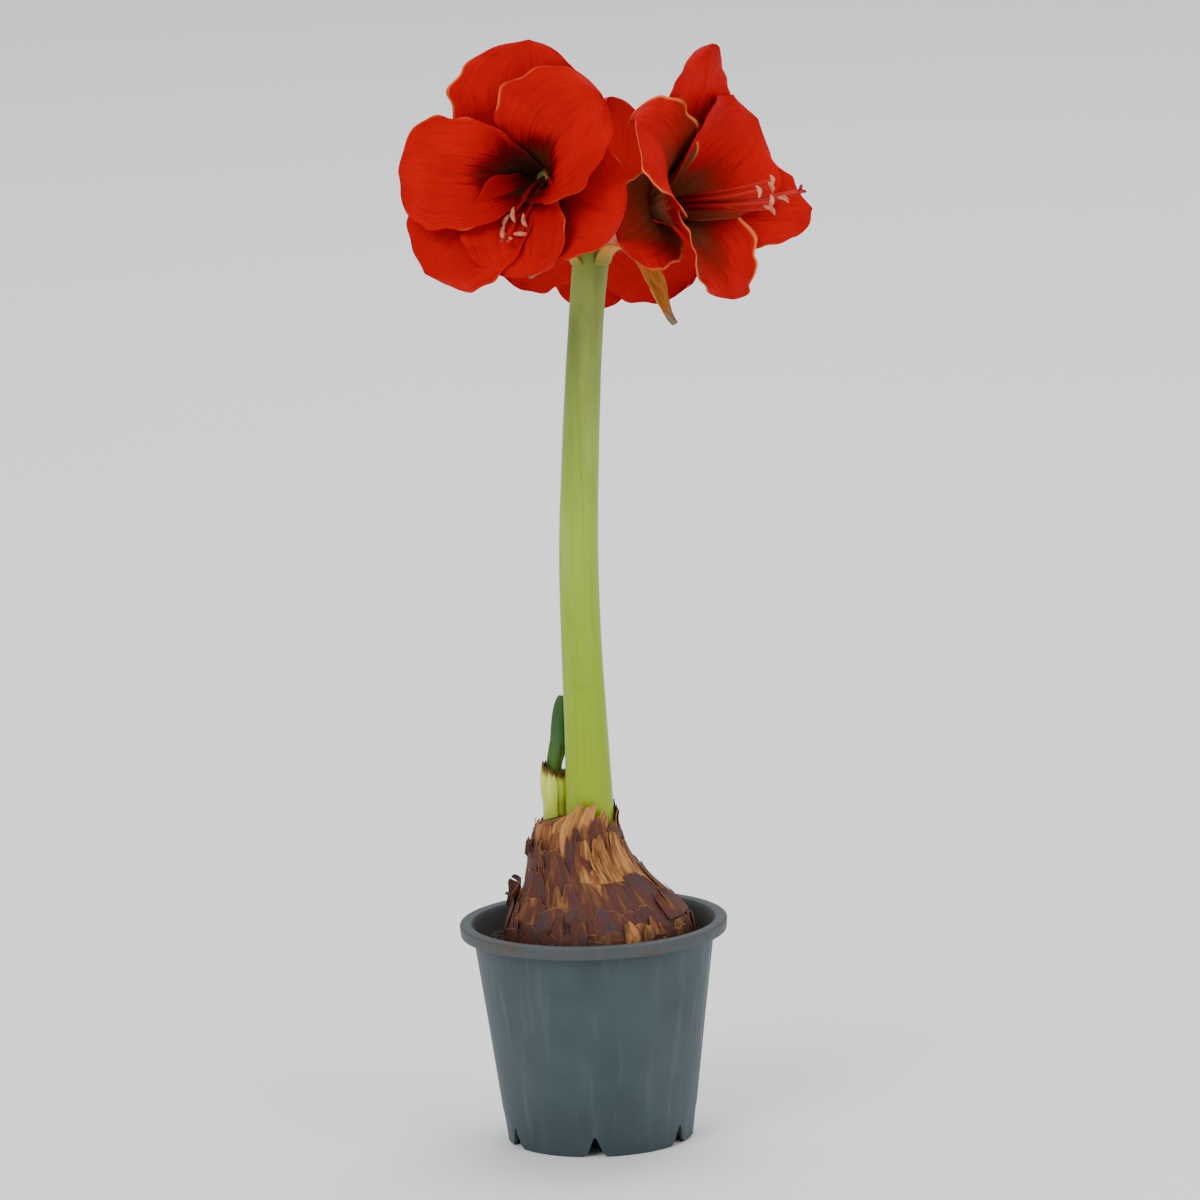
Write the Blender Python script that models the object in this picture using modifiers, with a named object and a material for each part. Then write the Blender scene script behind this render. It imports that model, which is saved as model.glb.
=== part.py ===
"""A potted amaryllis: a nursery pot of soil, a half buried bulb, one tall scape and an umbel of three blooms.

Everything is placed from the pot's axis, with the floor at z = 0, and in the end the whole plant is
moved so that the middle of its footprint stands on the origin. Sizes are in metres.
"""

import math
import random

import bmesh
import bpy
from mathutils import Matrix, Vector, noise

MM = 0.001
SEED = 11
CLEARANCE = 0.3 * MM
WELD = 0.02 * MM
FINE_WELD = 0.0005 * MM

# Pot
POT_HEIGHT = 108 * MM
POT_RIM_RADIUS = 65 * MM
POT_WALL = 1.3 * MM
POT_TOP_RADIUS = 59.4 * MM
POT_FOOT_RADIUS = 45.0 * MM
POT_LIP_DROP = 6.2 * MM
POT_FLOOR_HEIGHT = 11.5 * MM
POT_STEPS = 42
NOTCH_COUNT = 6
NOTCH_WIDTH = 12 * MM
NOTCH_HEIGHT = 10 * MM
FIRST_NOTCH = math.radians(-93.7)
DRAIN_HOLE_RADIUS = 3.5 * MM
DRAIN_CIRCLE_RADIUS = 30 * MM

# Soil
SOIL_TOP = 97 * MM
SOIL_BUMP = 1.8 * MM

# Bulb, as (radius, height) down its outside
BULB_X = 3 * MM
BULB_BASE = 48 * MM
BULB_PROFILE = [
    (18.5, 160.0), (20.2, 153.0), (22.0, 145.0), (24.0, 138.0), (27.4, 130.0), (32.4, 123.0),
    (38.8, 115.0), (43.0, 107.0), (44.0, 98.0), (41.5, 82.0), (31.0, 64.0), (17.0, 51.0),
]
BULB_STEPS = 32
NECK_LEAN = -9.5 * MM
NECK_LEAN_FROM = 106 * MM
NECK_LEAN_OVER = 44 * MM
NECK_FLOOR = 156 * MM
# Heights of the torn upper edges of the dry tunic layers, and how far each stands out
TUNIC_EDGES = [(163.0, 1.0), (147.0, 2.4), (131.0, 3.0), (117.0, 2.6)]
TUNIC_PLY = 1.1 * MM
TUNIC_THICKNESS = 0.9 * MM
TUNIC_LIP = 3.0 * MM
# Peeled scales: foot height, tip height, heading in degrees, half span in degrees, how far the tip stands out
PEELED_SCALES = [
    (104.0, 125.0, 170.0, 20.0, 9.0), (122.0, 150.0, 200.0, 22.0, 6.0), (120.0, 142.0, -62.0, 26.0, 5.0),
    (103.0, 119.0, -110.0, 30.0, 5.0), (106.0, 128.0, 60.0, 26.0, 6.0),
]

# Roots
ROOT_COUNT = 6
ROOT_RADIUS = 1.7 * MM
BASAL_PLATE_RADIUS = 15 * MM
BASAL_PLATE_THICKNESS = 3.5 * MM

# Scape, as (x, height, radius) of its centre line
SCAPE_POINTS = [
    (0.4, 140.0, 11.3), (0.2, 161.0, 11.6), (-0.2, 200.0, 10.6), (-1.1, 250.0, 9.8), (-0.8, 290.0, 9.5),
    (1.2, 330.0, 9.1), (4.3, 376.0, 8.6), (7.4, 410.0, 8.4), (9.8, 430.0, 8.6), (10.5, 437.0, 7.0),
]
SCAPE_SIDES = 18
SCAPE_STATIONS = 20
UMBEL = Vector((10.3, 0.0, 432.0)) * MM
PEDICEL_RADIUS = 4.2 * MM
OVARY_RADIUS = 5.6 * MM
OVARY_LENGTH = 15 * MM
TUBE_LENGTH = 15 * MM

# Blooms: place of the throat, heading from the front towards +X, rise above level, size, and the tepals,
# outer and inner by turns, as (place about the axis, length, width, slope of the tip, sideways lean)
BLOOMS = {
    "bloom_left": {
        "throat": (-10.5, -36.0, 475.0), "heading": -28.0, "rise": 10.0, "size": 1.0,
        "tepals": [
            (86, 76, 66, 108, 0), (40, 81, 64, 110, 0), (345, 68, 60, 112, 0),
            (280, 62, 56, 106, 0), (227, 77, 60, 106, 0), (180, 76, 56, 98, 0),
        ],
    },
    "bloom_right": {
        "throat": (37.0, -22.0, 457.0), "heading": 57.0, "rise": 16.0, "size": 1.0,
        "tepals": [
            (84, 86, 50, 92, -0.13), (30, 76, 60, 94, 0), (342, 85, 41, 80, 0),
            (252, 68, 66, 108, 0), (196, 60, 48, 150, 0), (138, 78, 52, 112, 0),
        ],
    },
    "bloom_back": {
        "throat": (11.0, 37.0, 446.0), "heading": 174.0, "rise": -3.0, "size": 0.92,
        "tepals": [
            (98, 72, 58, 110, 0), (38, 70, 52, 96, 0), (338, 74, 58, 112, 0),
            (278, 70, 52, 98, 0), (218, 74, 58, 110, 0), (158, 70, 52, 96, 0),
        ],
    },
}
TEPAL_THICKNESS = 0.8 * MM
TEPAL_ROWS = 8
TEPAL_COLUMNS = 4
TEPAL_WIDEST = 0.6
TUBE_RADIUS = 5.0 * MM
# Outer and inner tepals: first slope, step inwards, bluntness, ruffle, flatness, fall of the edges
OUTER_TEPAL = {"start": 26.0, "lift": 0.0, "tip": 0.62, "wave": 2.2 * MM, "flat": 2.4, "fall": 3.5 * MM}
INNER_TEPAL = {"start": 16.0, "lift": 1.2 * MM, "tip": 0.5, "wave": 2.8 * MM, "flat": 1.2, "fall": 1.0 * MM}
# The way of each bloom's filaments and of its style out of the throat, as (out, down, along) from the axis
FILAMENT_WAYS = {
    "bloom_left": [(2.4, 0.0, -3.0), (3.0, -6.0, 14.0), (4.5, -15.0, 27.0), (6.5, -21.0, 39.0)],
    "bloom_right": [(2.4, 0.0, -3.0), (3.0, -2.5, 24.0), (4.5, -7.0, 50.0), (6.5, -9.5, 73.0)],
    "bloom_back": [(2.4, 0.0, -3.0), (3.0, -4.5, 20.0), (5.0, -10.5, 40.0), (8.0, -9.5, 62.0)],
}
STYLE_WAYS = {
    "bloom_left": [(0.0, 0.0, -2.0), (0.0, -7.5, 15.0), (0.0, -18.5, 31.0), (0.0, -26.5, 46.0)],
    "bloom_right": [(0.0, 0.0, -2.0), (0.0, -3.0, 28.0), (0.0, -9.0, 58.0), (0.0, -11.5, 87.0)],
    "bloom_back": [(0.0, 0.0, -2.0), (0.0, -6.0, 22.0), (0.0, -13.5, 46.0), (0.0, -12.0, 75.0)],
}
FILAMENT_RADIUS = 0.8 * MM
ANTHER_LENGTH = 7.5 * MM

# Spathe bracts: heading of the fall, length, width
SPATHE_THICKNESS = 0.8 * MM
SPATHES = {
    "spathe_bract_right": {"heading": 50.0, "length": 62 * MM, "width": 20 * MM, "end": 146.0},
    "spathe_bract_left": {"heading": -64.0, "length": 28 * MM, "width": 17 * MM, "end": 118.0},
}

# Young shoot beside the scape
SHOOT_PLACE = Vector((-16.4, 8.8, 0.0)) * MM
SHOOT_BASE = 141 * MM
SHEATH_RADIUS = 6.2 * MM
SHEATH_SWELL = 1.2 * MM
SHEATH_SWELL_FROM = 164 * MM
SHEATH_WALL = 1.1 * MM
SHEATH_TOP = 184 * MM
LEAF_TOP = 217 * MM
LEAF_WIDTH = 9 * MM
LEAF_THICKNESS = 2.2 * MM

COLOURS = {
    "pot": ((0.075, 0.102, 0.112), 0.55),
    "soil": ((0.035, 0.024, 0.017), 0.95),
    "bulb": ((0.22, 0.095, 0.045), 0.6),
    "root": ((0.62, 0.53, 0.38), 0.7),
    "scape": ((0.33, 0.42, 0.08), 0.42),
    "petal": ((0.62, 0.008, 0.012), 0.45),
    "spathe": ((0.45, 0.2, 0.045), 0.6),
    "leaf": ((0.045, 0.12, 0.03), 0.4),
    "sheath": ((0.5, 0.52, 0.12), 0.45),
}


def new_collection(name):
    collection = bpy.data.collections.new(name)
    bpy.context.scene.collection.children.link(collection)
    return collection


def material(name):
    found = bpy.data.materials.get(name)
    if found:
        return found
    colour, roughness = COLOURS[name]
    made = bpy.data.materials.new(name)
    made.use_nodes = True
    shader = made.node_tree.nodes["Principled BSDF"]
    shader.inputs["Base Color"].default_value = (*colour, 1)
    shader.inputs["Roughness"].default_value = roughness
    shader.inputs["Metallic"].default_value = 0
    return made


def mesh_object(name, vertices, edges, faces, collection):
    mesh = bpy.data.meshes.new(name)
    mesh.from_pydata(vertices, edges, faces)
    obj = bpy.data.objects.new(name, mesh)
    collection.objects.link(obj)
    return obj


def freeze(obj, weld=WELD):
    """Turns a curve or a mesh with modifiers into a plain mesh of the same name, with its caps welded."""
    graph = bpy.context.evaluated_depsgraph_get()
    graph.update()
    mesh = bpy.data.meshes.new_from_object(obj.evaluated_get(graph))
    if weld:
        work = bmesh.new()
        work.from_mesh(mesh)
        bmesh.ops.remove_doubles(work, verts=work.verts, dist=weld)
        work.to_mesh(mesh)
        work.free()
    name, collection, place = obj.name, obj.users_collection[0], obj.matrix_world.copy()
    bpy.data.objects.remove(obj, do_unlink=True)
    plain = bpy.data.objects.new(name, mesh)
    plain.matrix_world = place
    collection.objects.link(plain)
    return plain


def turned(name, profile, steps, collection):
    """A solid turned about Z from a profile of (radius, height) that runs down its outer side."""
    points = [(radius, 0, height) for radius, height in profile]
    obj = mesh_object(name, points, [(i, i + 1) for i in range(len(points) - 1)], [], collection)
    screw = obj.modifiers.new("Turn", "SCREW")
    screw.axis = "Z"
    screw.steps = steps
    screw.render_steps = steps
    screw.use_merge_vertices = True
    screw.merge_threshold = 0.02 * MM
    screw.use_normal_calculate = False
    return obj


def tube(name, points, radii, sides, collection):
    """A round tapered rod along points, as a mesh."""
    curve = bpy.data.curves.new(name, "CURVE")
    curve.dimensions = "3D"
    curve.bevel_depth = 1
    curve.bevel_resolution = max(0, sides // 2 - 2)
    curve.use_fill_caps = True
    spline = curve.splines.new("POLY")
    spline.points.add(len(points) - 1)
    for target, place, radius in zip(spline.points, points, radii):
        target.co = (*place, 1)
        target.radius = radius
    obj = bpy.data.objects.new(name, curve)
    collection.objects.link(obj)
    return freeze(obj)


def smooth_points(points, count):
    """count points along a Catmull-Rom curve through points, each a tuple of numbers."""
    ends = [points[0], *points, points[-1]]
    made = []
    for i in range(count):
        place = i / (count - 1) * (len(points) - 1)
        k = min(int(place), len(points) - 2)
        t = place - k
        quad = ends[k:k + 4]
        made.append(tuple(
            0.5 * (
                2 * b + (c - a) * t + (2 * a - 5 * b + 4 * c - d) * t * t + (3 * b - a - 3 * c + d) * t ** 3
            )
            for a, b, c, d in zip(*quad)
        ))
    return made


def sheet(name, point_at, rows, columns, thickness, collection, crowd=1.0):
    """A thin curved blade from point_at(s, v), for s from 0 to 1 and v from -1 to 1.

    It is triangulated before it is thickened, and with crowd over 1 its rows stand closer towards the tip."""
    stations = [1 - (1 - i / rows) ** crowd for i in range(rows + 1)]
    vertices = [point_at(s, 2 * j / columns - 1) for s in stations for j in range(columns + 1)]
    faces = []
    for i in range(rows):
        for j in range(columns):
            a = i * (columns + 1) + j
            b = a + columns + 1
            corners = (a, a + 1, b + 1, b)
            if j * 2 < columns:
                faces += [(corners[0], corners[1], corners[2]), (corners[0], corners[2], corners[3])]
            else:
                faces += [(corners[0], corners[1], corners[3]), (corners[1], corners[2], corners[3])]
    obj = mesh_object(name, vertices, [], faces, collection)
    solid = obj.modifiers.new("Thickness", "SOLIDIFY")
    solid.thickness = thickness
    solid.offset = 0
    solid.use_even_offset = False
    return freeze(obj)


def keep_largest_body(obj):
    """Drops the loose scraps that a join leaves beside the main body."""
    work = bmesh.new()
    work.from_mesh(obj.data)
    work.verts.ensure_lookup_table()
    body_of = {}
    sizes = []
    for first in work.verts:
        if first in body_of:
            continue
        body_of[first] = len(sizes)
        waiting, size = [first], 0
        while waiting:
            vertex = waiting.pop()
            size += 1
            for edge in vertex.link_edges:
                other = edge.other_vert(vertex)
                if other not in body_of:
                    body_of[other] = len(sizes)
                    waiting.append(other)
        sizes.append(size)
    largest = sizes.index(max(sizes))
    bmesh.ops.delete(work, geom=[v for v in work.verts if body_of[v] != largest], context="VERTS")
    work.to_mesh(obj.data)
    work.free()


def boolean(obj, collection, operation, solver="EXACT"):
    """Joins obj with, or cuts it by, everything in collection, which is then emptied."""
    modifier = obj.modifiers.new("Join", "BOOLEAN")
    modifier.operation = operation
    modifier.operand_type = "COLLECTION"
    modifier.collection = collection
    modifier.solver = solver
    made = freeze(obj, FINE_WELD if solver == "EXACT" else 0)
    keep_largest_body(made)
    for other in list(collection.objects):
        bpy.data.objects.remove(other, do_unlink=True)
    return made


def finish(obj, slot):
    """Gives a finished solid its material and smooth shading."""
    obj.data.materials.clear()
    obj.data.materials.append(material(slot))
    obj.data.shade_smooth()
    obj.data.set_sharp_from_angle(angle=math.radians(40))
    return obj


def wall_radius(height):
    """The pot wall's outer radius at a height."""
    return POT_FOOT_RADIUS + (POT_TOP_RADIUS - POT_FOOT_RADIUS) * height / POT_HEIGHT


def outline_solid(name, outline, thickness, collection):
    """A flat outline in XY, extruded by thickness about its own plane, as a mesh."""
    curve = bpy.data.curves.new(name, "CURVE")
    curve.dimensions = "2D"
    curve.fill_mode = "BOTH"
    curve.extrude = thickness / 2
    spline = curve.splines.new("POLY")
    spline.points.add(len(outline) - 1)
    for target, place in zip(spline.points, outline):
        target.co = (*place, 0, 1)
    spline.use_cyclic_u = True
    obj = bpy.data.objects.new(name, curve)
    collection.objects.link(obj)
    return freeze(obj)


def build_pot(parts, cutters):
    """The moulded pot, with a rolled lip, a raised floor, drain holes and notched feet."""
    h = POT_HEIGHT
    inner = POT_FLOOR_HEIGHT + POT_WALL
    profile = [
        (0, inner), (wall_radius(inner) - POT_WALL, inner),
        (wall_radius(h - 3 * MM) - POT_WALL, h - 3 * MM), (POT_TOP_RADIUS - 0.5 * MM, h - 0.7 * MM),
        (POT_TOP_RADIUS + 0.7 * MM, h),
        (POT_RIM_RADIUS - 0.8 * MM, h), (POT_RIM_RADIUS, h - 0.8 * MM),
        (POT_RIM_RADIUS - 0.5 * MM, h - POT_LIP_DROP), (POT_RIM_RADIUS - 1.8 * MM, h - POT_LIP_DROP),
        (POT_RIM_RADIUS - 1.4 * MM, h - 1.4 * MM), (POT_TOP_RADIUS + 1.0 * MM, h - 1.4 * MM),
        (wall_radius(h - 3.4 * MM), h - 3.4 * MM), (wall_radius(0), 0), (wall_radius(0) - POT_WALL, 0),
        (wall_radius(POT_FLOOR_HEIGHT) - 1.4 * MM, POT_FLOOR_HEIGHT), (0, POT_FLOOR_HEIGHT),
    ]
    pot = turned("pot", profile, POT_STEPS, parts)
    half = NOTCH_WIDTH / 2
    notch = [
        (-half - 1 * MM, -2 * MM), (half + 1 * MM, -2 * MM), (half, 0), (0.45 * half, 0.45 * NOTCH_HEIGHT),
        (0.14 * half, 0.94 * NOTCH_HEIGHT), (0, NOTCH_HEIGHT), (-0.14 * half, 0.94 * NOTCH_HEIGHT),
        (-0.45 * half, 0.45 * NOTCH_HEIGHT), (-half, 0),
    ]
    for k in range(NOTCH_COUNT):
        angle = FIRST_NOTCH + 2 * math.pi * k / NOTCH_COUNT
        cutter = outline_solid(f"notch_{k}", notch, 16 * MM, cutters)
        turn = Matrix.Rotation(angle, 4, "Z") @ Matrix.Translation((POT_FOOT_RADIUS, 0, 0))
        upright = Matrix.Rotation(math.pi / 2, 4, "Z") @ Matrix.Rotation(math.pi / 2, 4, "X")
        cutter.data.transform(turn @ upright)
    for k in range(NOTCH_COUNT + 1):
        angle = FIRST_NOTCH + 2 * math.pi * (k + 0.5) / NOTCH_COUNT
        radius = 0 if k == NOTCH_COUNT else DRAIN_CIRCLE_RADIUS
        bpy.ops.mesh.primitive_cylinder_add(
            vertices=12, radius=DRAIN_HOLE_RADIUS, depth=8 * MM,
            location=(radius * math.cos(angle), radius * math.sin(angle), POT_FLOOR_HEIGHT),
        )
        hole = bpy.context.object
        hole.name = f"drain_{k}"
        for collection in list(hole.users_collection):
            collection.objects.unlink(hole)
        cutters.objects.link(hole)
    return finish(boolean(pot, cutters, "DIFFERENCE"), "pot")


def bulb_radius(height):
    """The bulb's plain radius at a height, smooth through its profile."""
    rows = [(r * MM, z * MM) for r, z in BULB_PROFILE]
    if height >= rows[0][1]:
        return rows[0][0]
    for (r_top, z_top), (r_low, z_low) in zip(rows, rows[1:]):
        if height >= z_low:
            return r_low + (r_top - r_low) * (height - z_low) / (z_top - z_low)
    return rows[-1][0]


def neck_lean(height):
    """How far the bulb's centre stands from the pot's axis at a height."""
    t = min(1, max(0, (height - NECK_LEAN_FROM) / NECK_LEAN_OVER))
    return BULB_X + NECK_LEAN * t * t * (3 - 2 * t)


def bulb_body(name, grow, collection):
    """The bulb's plain turned body, larger all over by grow."""
    profile = [(0, 160 * MM + grow)] + [(r * MM + grow, z * MM) for r, z in BULB_PROFILE]
    profile += [(13 * MM + grow, BULB_BASE - grow), (0, BULB_BASE - grow)]
    return turned(name, profile, BULB_STEPS, collection)


def tunic_profile():
    """The bulb's outside from the neck's floor down, with one overhanging lip for each layer of tunic.

    Each row is (radius, height, layer), where a layer's rows follow its torn edge."""
    rows = [(0, NECK_FLOOR, None), (14.6 * MM, NECK_FLOOR, None)]
    for layer, (edge, stand) in enumerate(TUNIC_EDGES):
        edge, stand = edge * MM, stand * MM
        outer = bulb_radius(edge) + stand
        if layer:
            rows.append((bulb_radius(edge) + 0.2 * MM, edge - TUNIC_LIP, layer))
        rows += [(outer - TUNIC_PLY, edge, layer), (outer, edge - 0.3 * MM, layer)]
        rows.append((bulb_radius(edge - 7 * MM) + 0.55 * stand, edge - 7 * MM, layer))
    rows.append((bulb_radius(106 * MM) + 0.6 * MM, 106 * MM, None))
    rows += [(r * MM, z * MM, None) for r, z in BULB_PROFILE if z < 100]
    return rows + [(13 * MM, BULB_BASE, None), (0, BULB_BASE, None)]


def torn_edge(layer, angle):
    """How far a layer's torn edge rises or falls at an angle: broad lobes, each with a step, and nicks."""
    draw = random.Random(SEED + 31 * layer)
    start, lobes = draw.uniform(0, 6), draw.choice((3, 4))
    turn = (angle + start) % (2 * math.pi) / (2 * math.pi) * lobes
    lobe = turn % 1
    height = 2.6 * math.sin(math.pi * lobe ** 1.5) - 1.6 + draw.uniform(-1, 1) * math.cos(2 * angle + start)
    return (height + 0.7 * math.sin(11 * angle + start)) * MM


def peeled_scale(k, scale, collection):
    """One dry scale that has come away: rooted in the bulb at its foot, curling out to a ragged tip."""
    low, high, heading, half_span, stand = scale
    low, high, stand = low * MM, high * MM, stand * MM
    draw = random.Random(SEED + k)
    ragged = [draw.uniform(-2.5, 2.0) * MM for _ in range(5)]
    heading, half_span = math.radians(heading), math.radians(half_span)

    def point_at(s, v):
        z = low + (high + ragged[round((v + 1) * 2)] - 2.0 * MM * v * v - low) * s
        phi = heading + half_span * v * (1 - 0.45 * s)
        radius = bulb_radius(z) + 0.3 * MM + stand * s * s * (1 - 0.3 * abs(v))
        return (neck_lean(z) + radius * math.cos(phi), radius * math.sin(phi), z)

    return sheet(f"peeled_{k}", point_at, 4, 4, TUNIC_THICKNESS, collection)


def scape_points():
    """The (x, y, z, radius) stations down the middle of the scape."""
    return smooth_points([(x * MM, 0.0, z * MM, r * MM) for x, z, r in SCAPE_POINTS], SCAPE_STATIONS)


def shoot_tube(name, radius, low, high, collection):
    """An upright round rod where the young shoot stands."""
    foot, head = Vector((0, 0, low)), Vector((0, 0, high))
    return tube(name, [SHOOT_PLACE + foot, SHOOT_PLACE + head], [radius, radius], 16, collection)


def build_bulb(parts, cutters):
    """The bulb in its torn dry tunic, with plain holes in its neck for the scape and the shoot."""
    rows = tunic_profile()
    bulb = freeze(turned("bulb", [(radius, height) for radius, height, _ in rows], BULB_STEPS, parts))
    layer_at = {(round(radius * 1e6), round(height * 1e6)): layer for radius, height, layer in rows}
    for vertex in bulb.data.vertices:
        x, y, z = vertex.co
        radius, angle = math.hypot(x, y), math.atan2(y, x)
        layer = layer_at.get((round(radius * 1e6), round(z * 1e6)))
        above = min(1, max(0, (z - SOIL_TOP - 4 * MM) / (10 * MM)))
        if layer is not None:
            vertex.co.z += torn_edge(layer, angle)
            lump = noise.noise(Vector((x, y, z)) * 60) * 1.8 * MM * above
            vertex.co.x *= 1 + lump / radius
            vertex.co.y *= 1 + lump / radius
        vertex.co.x += neck_lean(vertex.co.z)
    for k, scale in enumerate(PEELED_SCALES):
        peeled_scale(k, scale, cutters)
    bulb = boolean(bulb, cutters, "UNION", "MANIFOLD")
    inside = [p for p in scape_points() if p[2] < 190 * MM]
    way = [Vector(p[:3]) for p in inside]
    way[0].z -= CLEARANCE
    tube("scape_hole", way, [p[3] + CLEARANCE for p in inside], SCAPE_SIDES, cutters)
    shoot_tube("shoot_hole", SHEATH_RADIUS + CLEARANCE, SHOOT_BASE - CLEARANCE, 175 * MM, cutters)
    return finish(boolean(bulb, cutters, "DIFFERENCE", "MANIFOLD"), "bulb")


def root_path(k):
    """The way of one fleshy root, from the basal plate out and down."""
    draw = random.Random(SEED + 100 + k)
    angle = 2 * math.pi * (k + draw.uniform(-0.2, 0.2)) / ROOT_COUNT
    rows = [(7.0, 46.0), (12.0, 38.0), (20.0, 31.0), (draw.uniform(26, 32), draw.uniform(20, 24))]
    swerve = draw.uniform(-0.3, 0.3)
    return smooth_points([
        (BULB_X + r * MM * math.cos(angle + swerve * i), r * MM * math.sin(angle + swerve * i), z * MM)
        for i, (r, z) in enumerate(rows)
    ], 6)


def root_mass(name, grow, collection, helpers):
    """The basal plate with its roots as one solid, larger all over by grow."""
    top = BULB_BASE - CLEARANCE + grow
    low = BULB_BASE - CLEARANCE - BASAL_PLATE_THICKNESS - grow
    radius = BASAL_PLATE_RADIUS + grow
    plate = turned(name, [(0, top), (radius, top), (radius - 3 * MM, low), (0, low)], 24, collection)
    plate.location.x = BULB_X
    plate = freeze(plate)
    for k in range(ROOT_COUNT):
        path = [Vector(p) for p in root_path(k)]
        path[-1] += (path[-1] - path[-2]).normalized() * grow
        radii = [(ROOT_RADIUS + grow) - 0.8 * MM * i / len(path) for i in range(len(path))]
        tube(f"{name}_root_{k}", path, radii, 6, helpers)
    return boolean(plate, helpers, "UNION")


def build_soil(parts, cutters, helpers):
    """The potting soil, filling the pot, with a lumpy top and a plain bowl for the bulb and its roots."""
    low = POT_FLOOR_HEIGHT + POT_WALL + CLEARANCE
    rings = [(r * MM, SOIL_TOP) for r in (0, 20, 34, 40, 45, 50)]
    outer = wall_radius(SOIL_TOP) - POT_WALL - CLEARANCE
    foot = wall_radius(low) - POT_WALL - CLEARANCE
    profile = rings + [(outer - 1.5 * MM, SOIL_TOP), (outer, SOIL_TOP - 1.5 * MM), (foot, low), (0, low)]
    soil = freeze(turned("soil", profile, POT_STEPS, parts))
    for vertex in soil.data.vertices:
        radius = math.hypot(vertex.co.x, vertex.co.y)
        if vertex.co.z > SOIL_TOP - 0.5 * MM and radius < outer - 2 * MM:
            vertex.co.z += noise.noise(vertex.co * 90) * 2 * SOIL_BUMP
    bowl = bulb_body("bowl", CLEARANCE + 0.1 * MM, cutters)
    bowl.location.x = BULB_X
    root_mass("root_space", CLEARANCE + 0.1 * MM, cutters, helpers)
    return finish(boolean(soil, cutters, "DIFFERENCE"), "soil")


def bloom_frame(spec):
    """The matrix from a bloom's own frame, with Z along its axis and Y up, to the plant's."""
    heading, rise = math.radians(spec["heading"]), math.radians(spec["rise"])
    axis = Vector((math.sin(heading) * math.cos(rise), -math.cos(heading) * math.cos(rise), math.sin(rise)))
    up = (Vector((0, 0, 1)) - axis * axis.z).normalized()
    side = up.cross(axis)
    turn = Matrix((side, up, axis)).transposed().to_4x4()
    return Matrix.Translation(Vector(spec["throat"]) * MM) @ turn @ Matrix.Scale(spec["size"], 4)


def tepal_line(kind, length, s):
    """(distance from the axis, height, slope) of a tepal's midrib at s, 0 at the throat and 1 at the tip."""
    steps = 24
    radius, height = TUBE_RADIUS - kind["lift"], -2 * MM
    start, end = math.radians(kind["start"]), math.radians(kind["end"])
    slope = start
    for i in range(steps):
        t = (i + 0.5) / steps * s
        slope = start + (end - start) * (0.55 * t + 0.45 * t * t)
        radius += math.sin(slope) * length * s / steps
        height += math.cos(slope) * length * s / steps
    return radius, height, slope


def tepal_half_width(kind, s):
    """Half a tepal's width at s: a narrow claw, a broad blade and a blunt point."""
    if s < TEPAL_WIDEST:
        blade = math.sin(math.pi / 2 * s / TEPAL_WIDEST) ** 0.9
    else:
        blade = max(0.0, 1 - ((s - TEPAL_WIDEST) / (1 - TEPAL_WIDEST)) ** 2) ** kind["tip"]
    return kind["width"] / 2 * (0.11 * (1 - s) ** 2 + blade) + 0.9 * MM


def tepal_point(kind, angle, length, phase):
    """The function that gives a tepal's surface in the bloom's frame."""
    radial = Vector((math.cos(angle), math.sin(angle), 0))
    across = Vector((-math.sin(angle), math.cos(angle), 0))
    axis = Vector((0, 0, 1))

    def point_at(s, v):
        radius, height, slope = tepal_line(kind, length, s)
        inward = -radial * math.cos(slope) + axis * math.sin(slope)
        bend = max(radius, 4 * MM) * (1 + kind["flat"] * s * s)
        arc = v * tepal_half_width(kind, s) / bend + kind["lean"] * s * s
        ruffle = kind["wave"] * s ** 1.2 * abs(v) ** 2.2
        ruffle *= math.sin(2 * math.pi * 1.7 * s + phase + (1.9 if v > 0 else 0))
        edge_fall = -kind["fall"] * s * s * v * v
        return (
            radial * radius + axis * height + across * (bend * math.sin(arc))
            + inward * (bend * (1 - math.cos(arc)) + ruffle + edge_fall)
        )

    return point_at


def thread_path(way, angle, share, count):
    """A thread's way out of the throat as count points, turned about the axis, a share of its full length."""
    spread = Vector((math.cos(angle), math.sin(angle), 0))
    return [Vector(point) for point in smooth_points([
        tuple(spread * out * MM + Vector((0, down, along * (share if along > 0 else 1))) * MM)
        for out, down, along in way
    ], count)]


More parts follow.
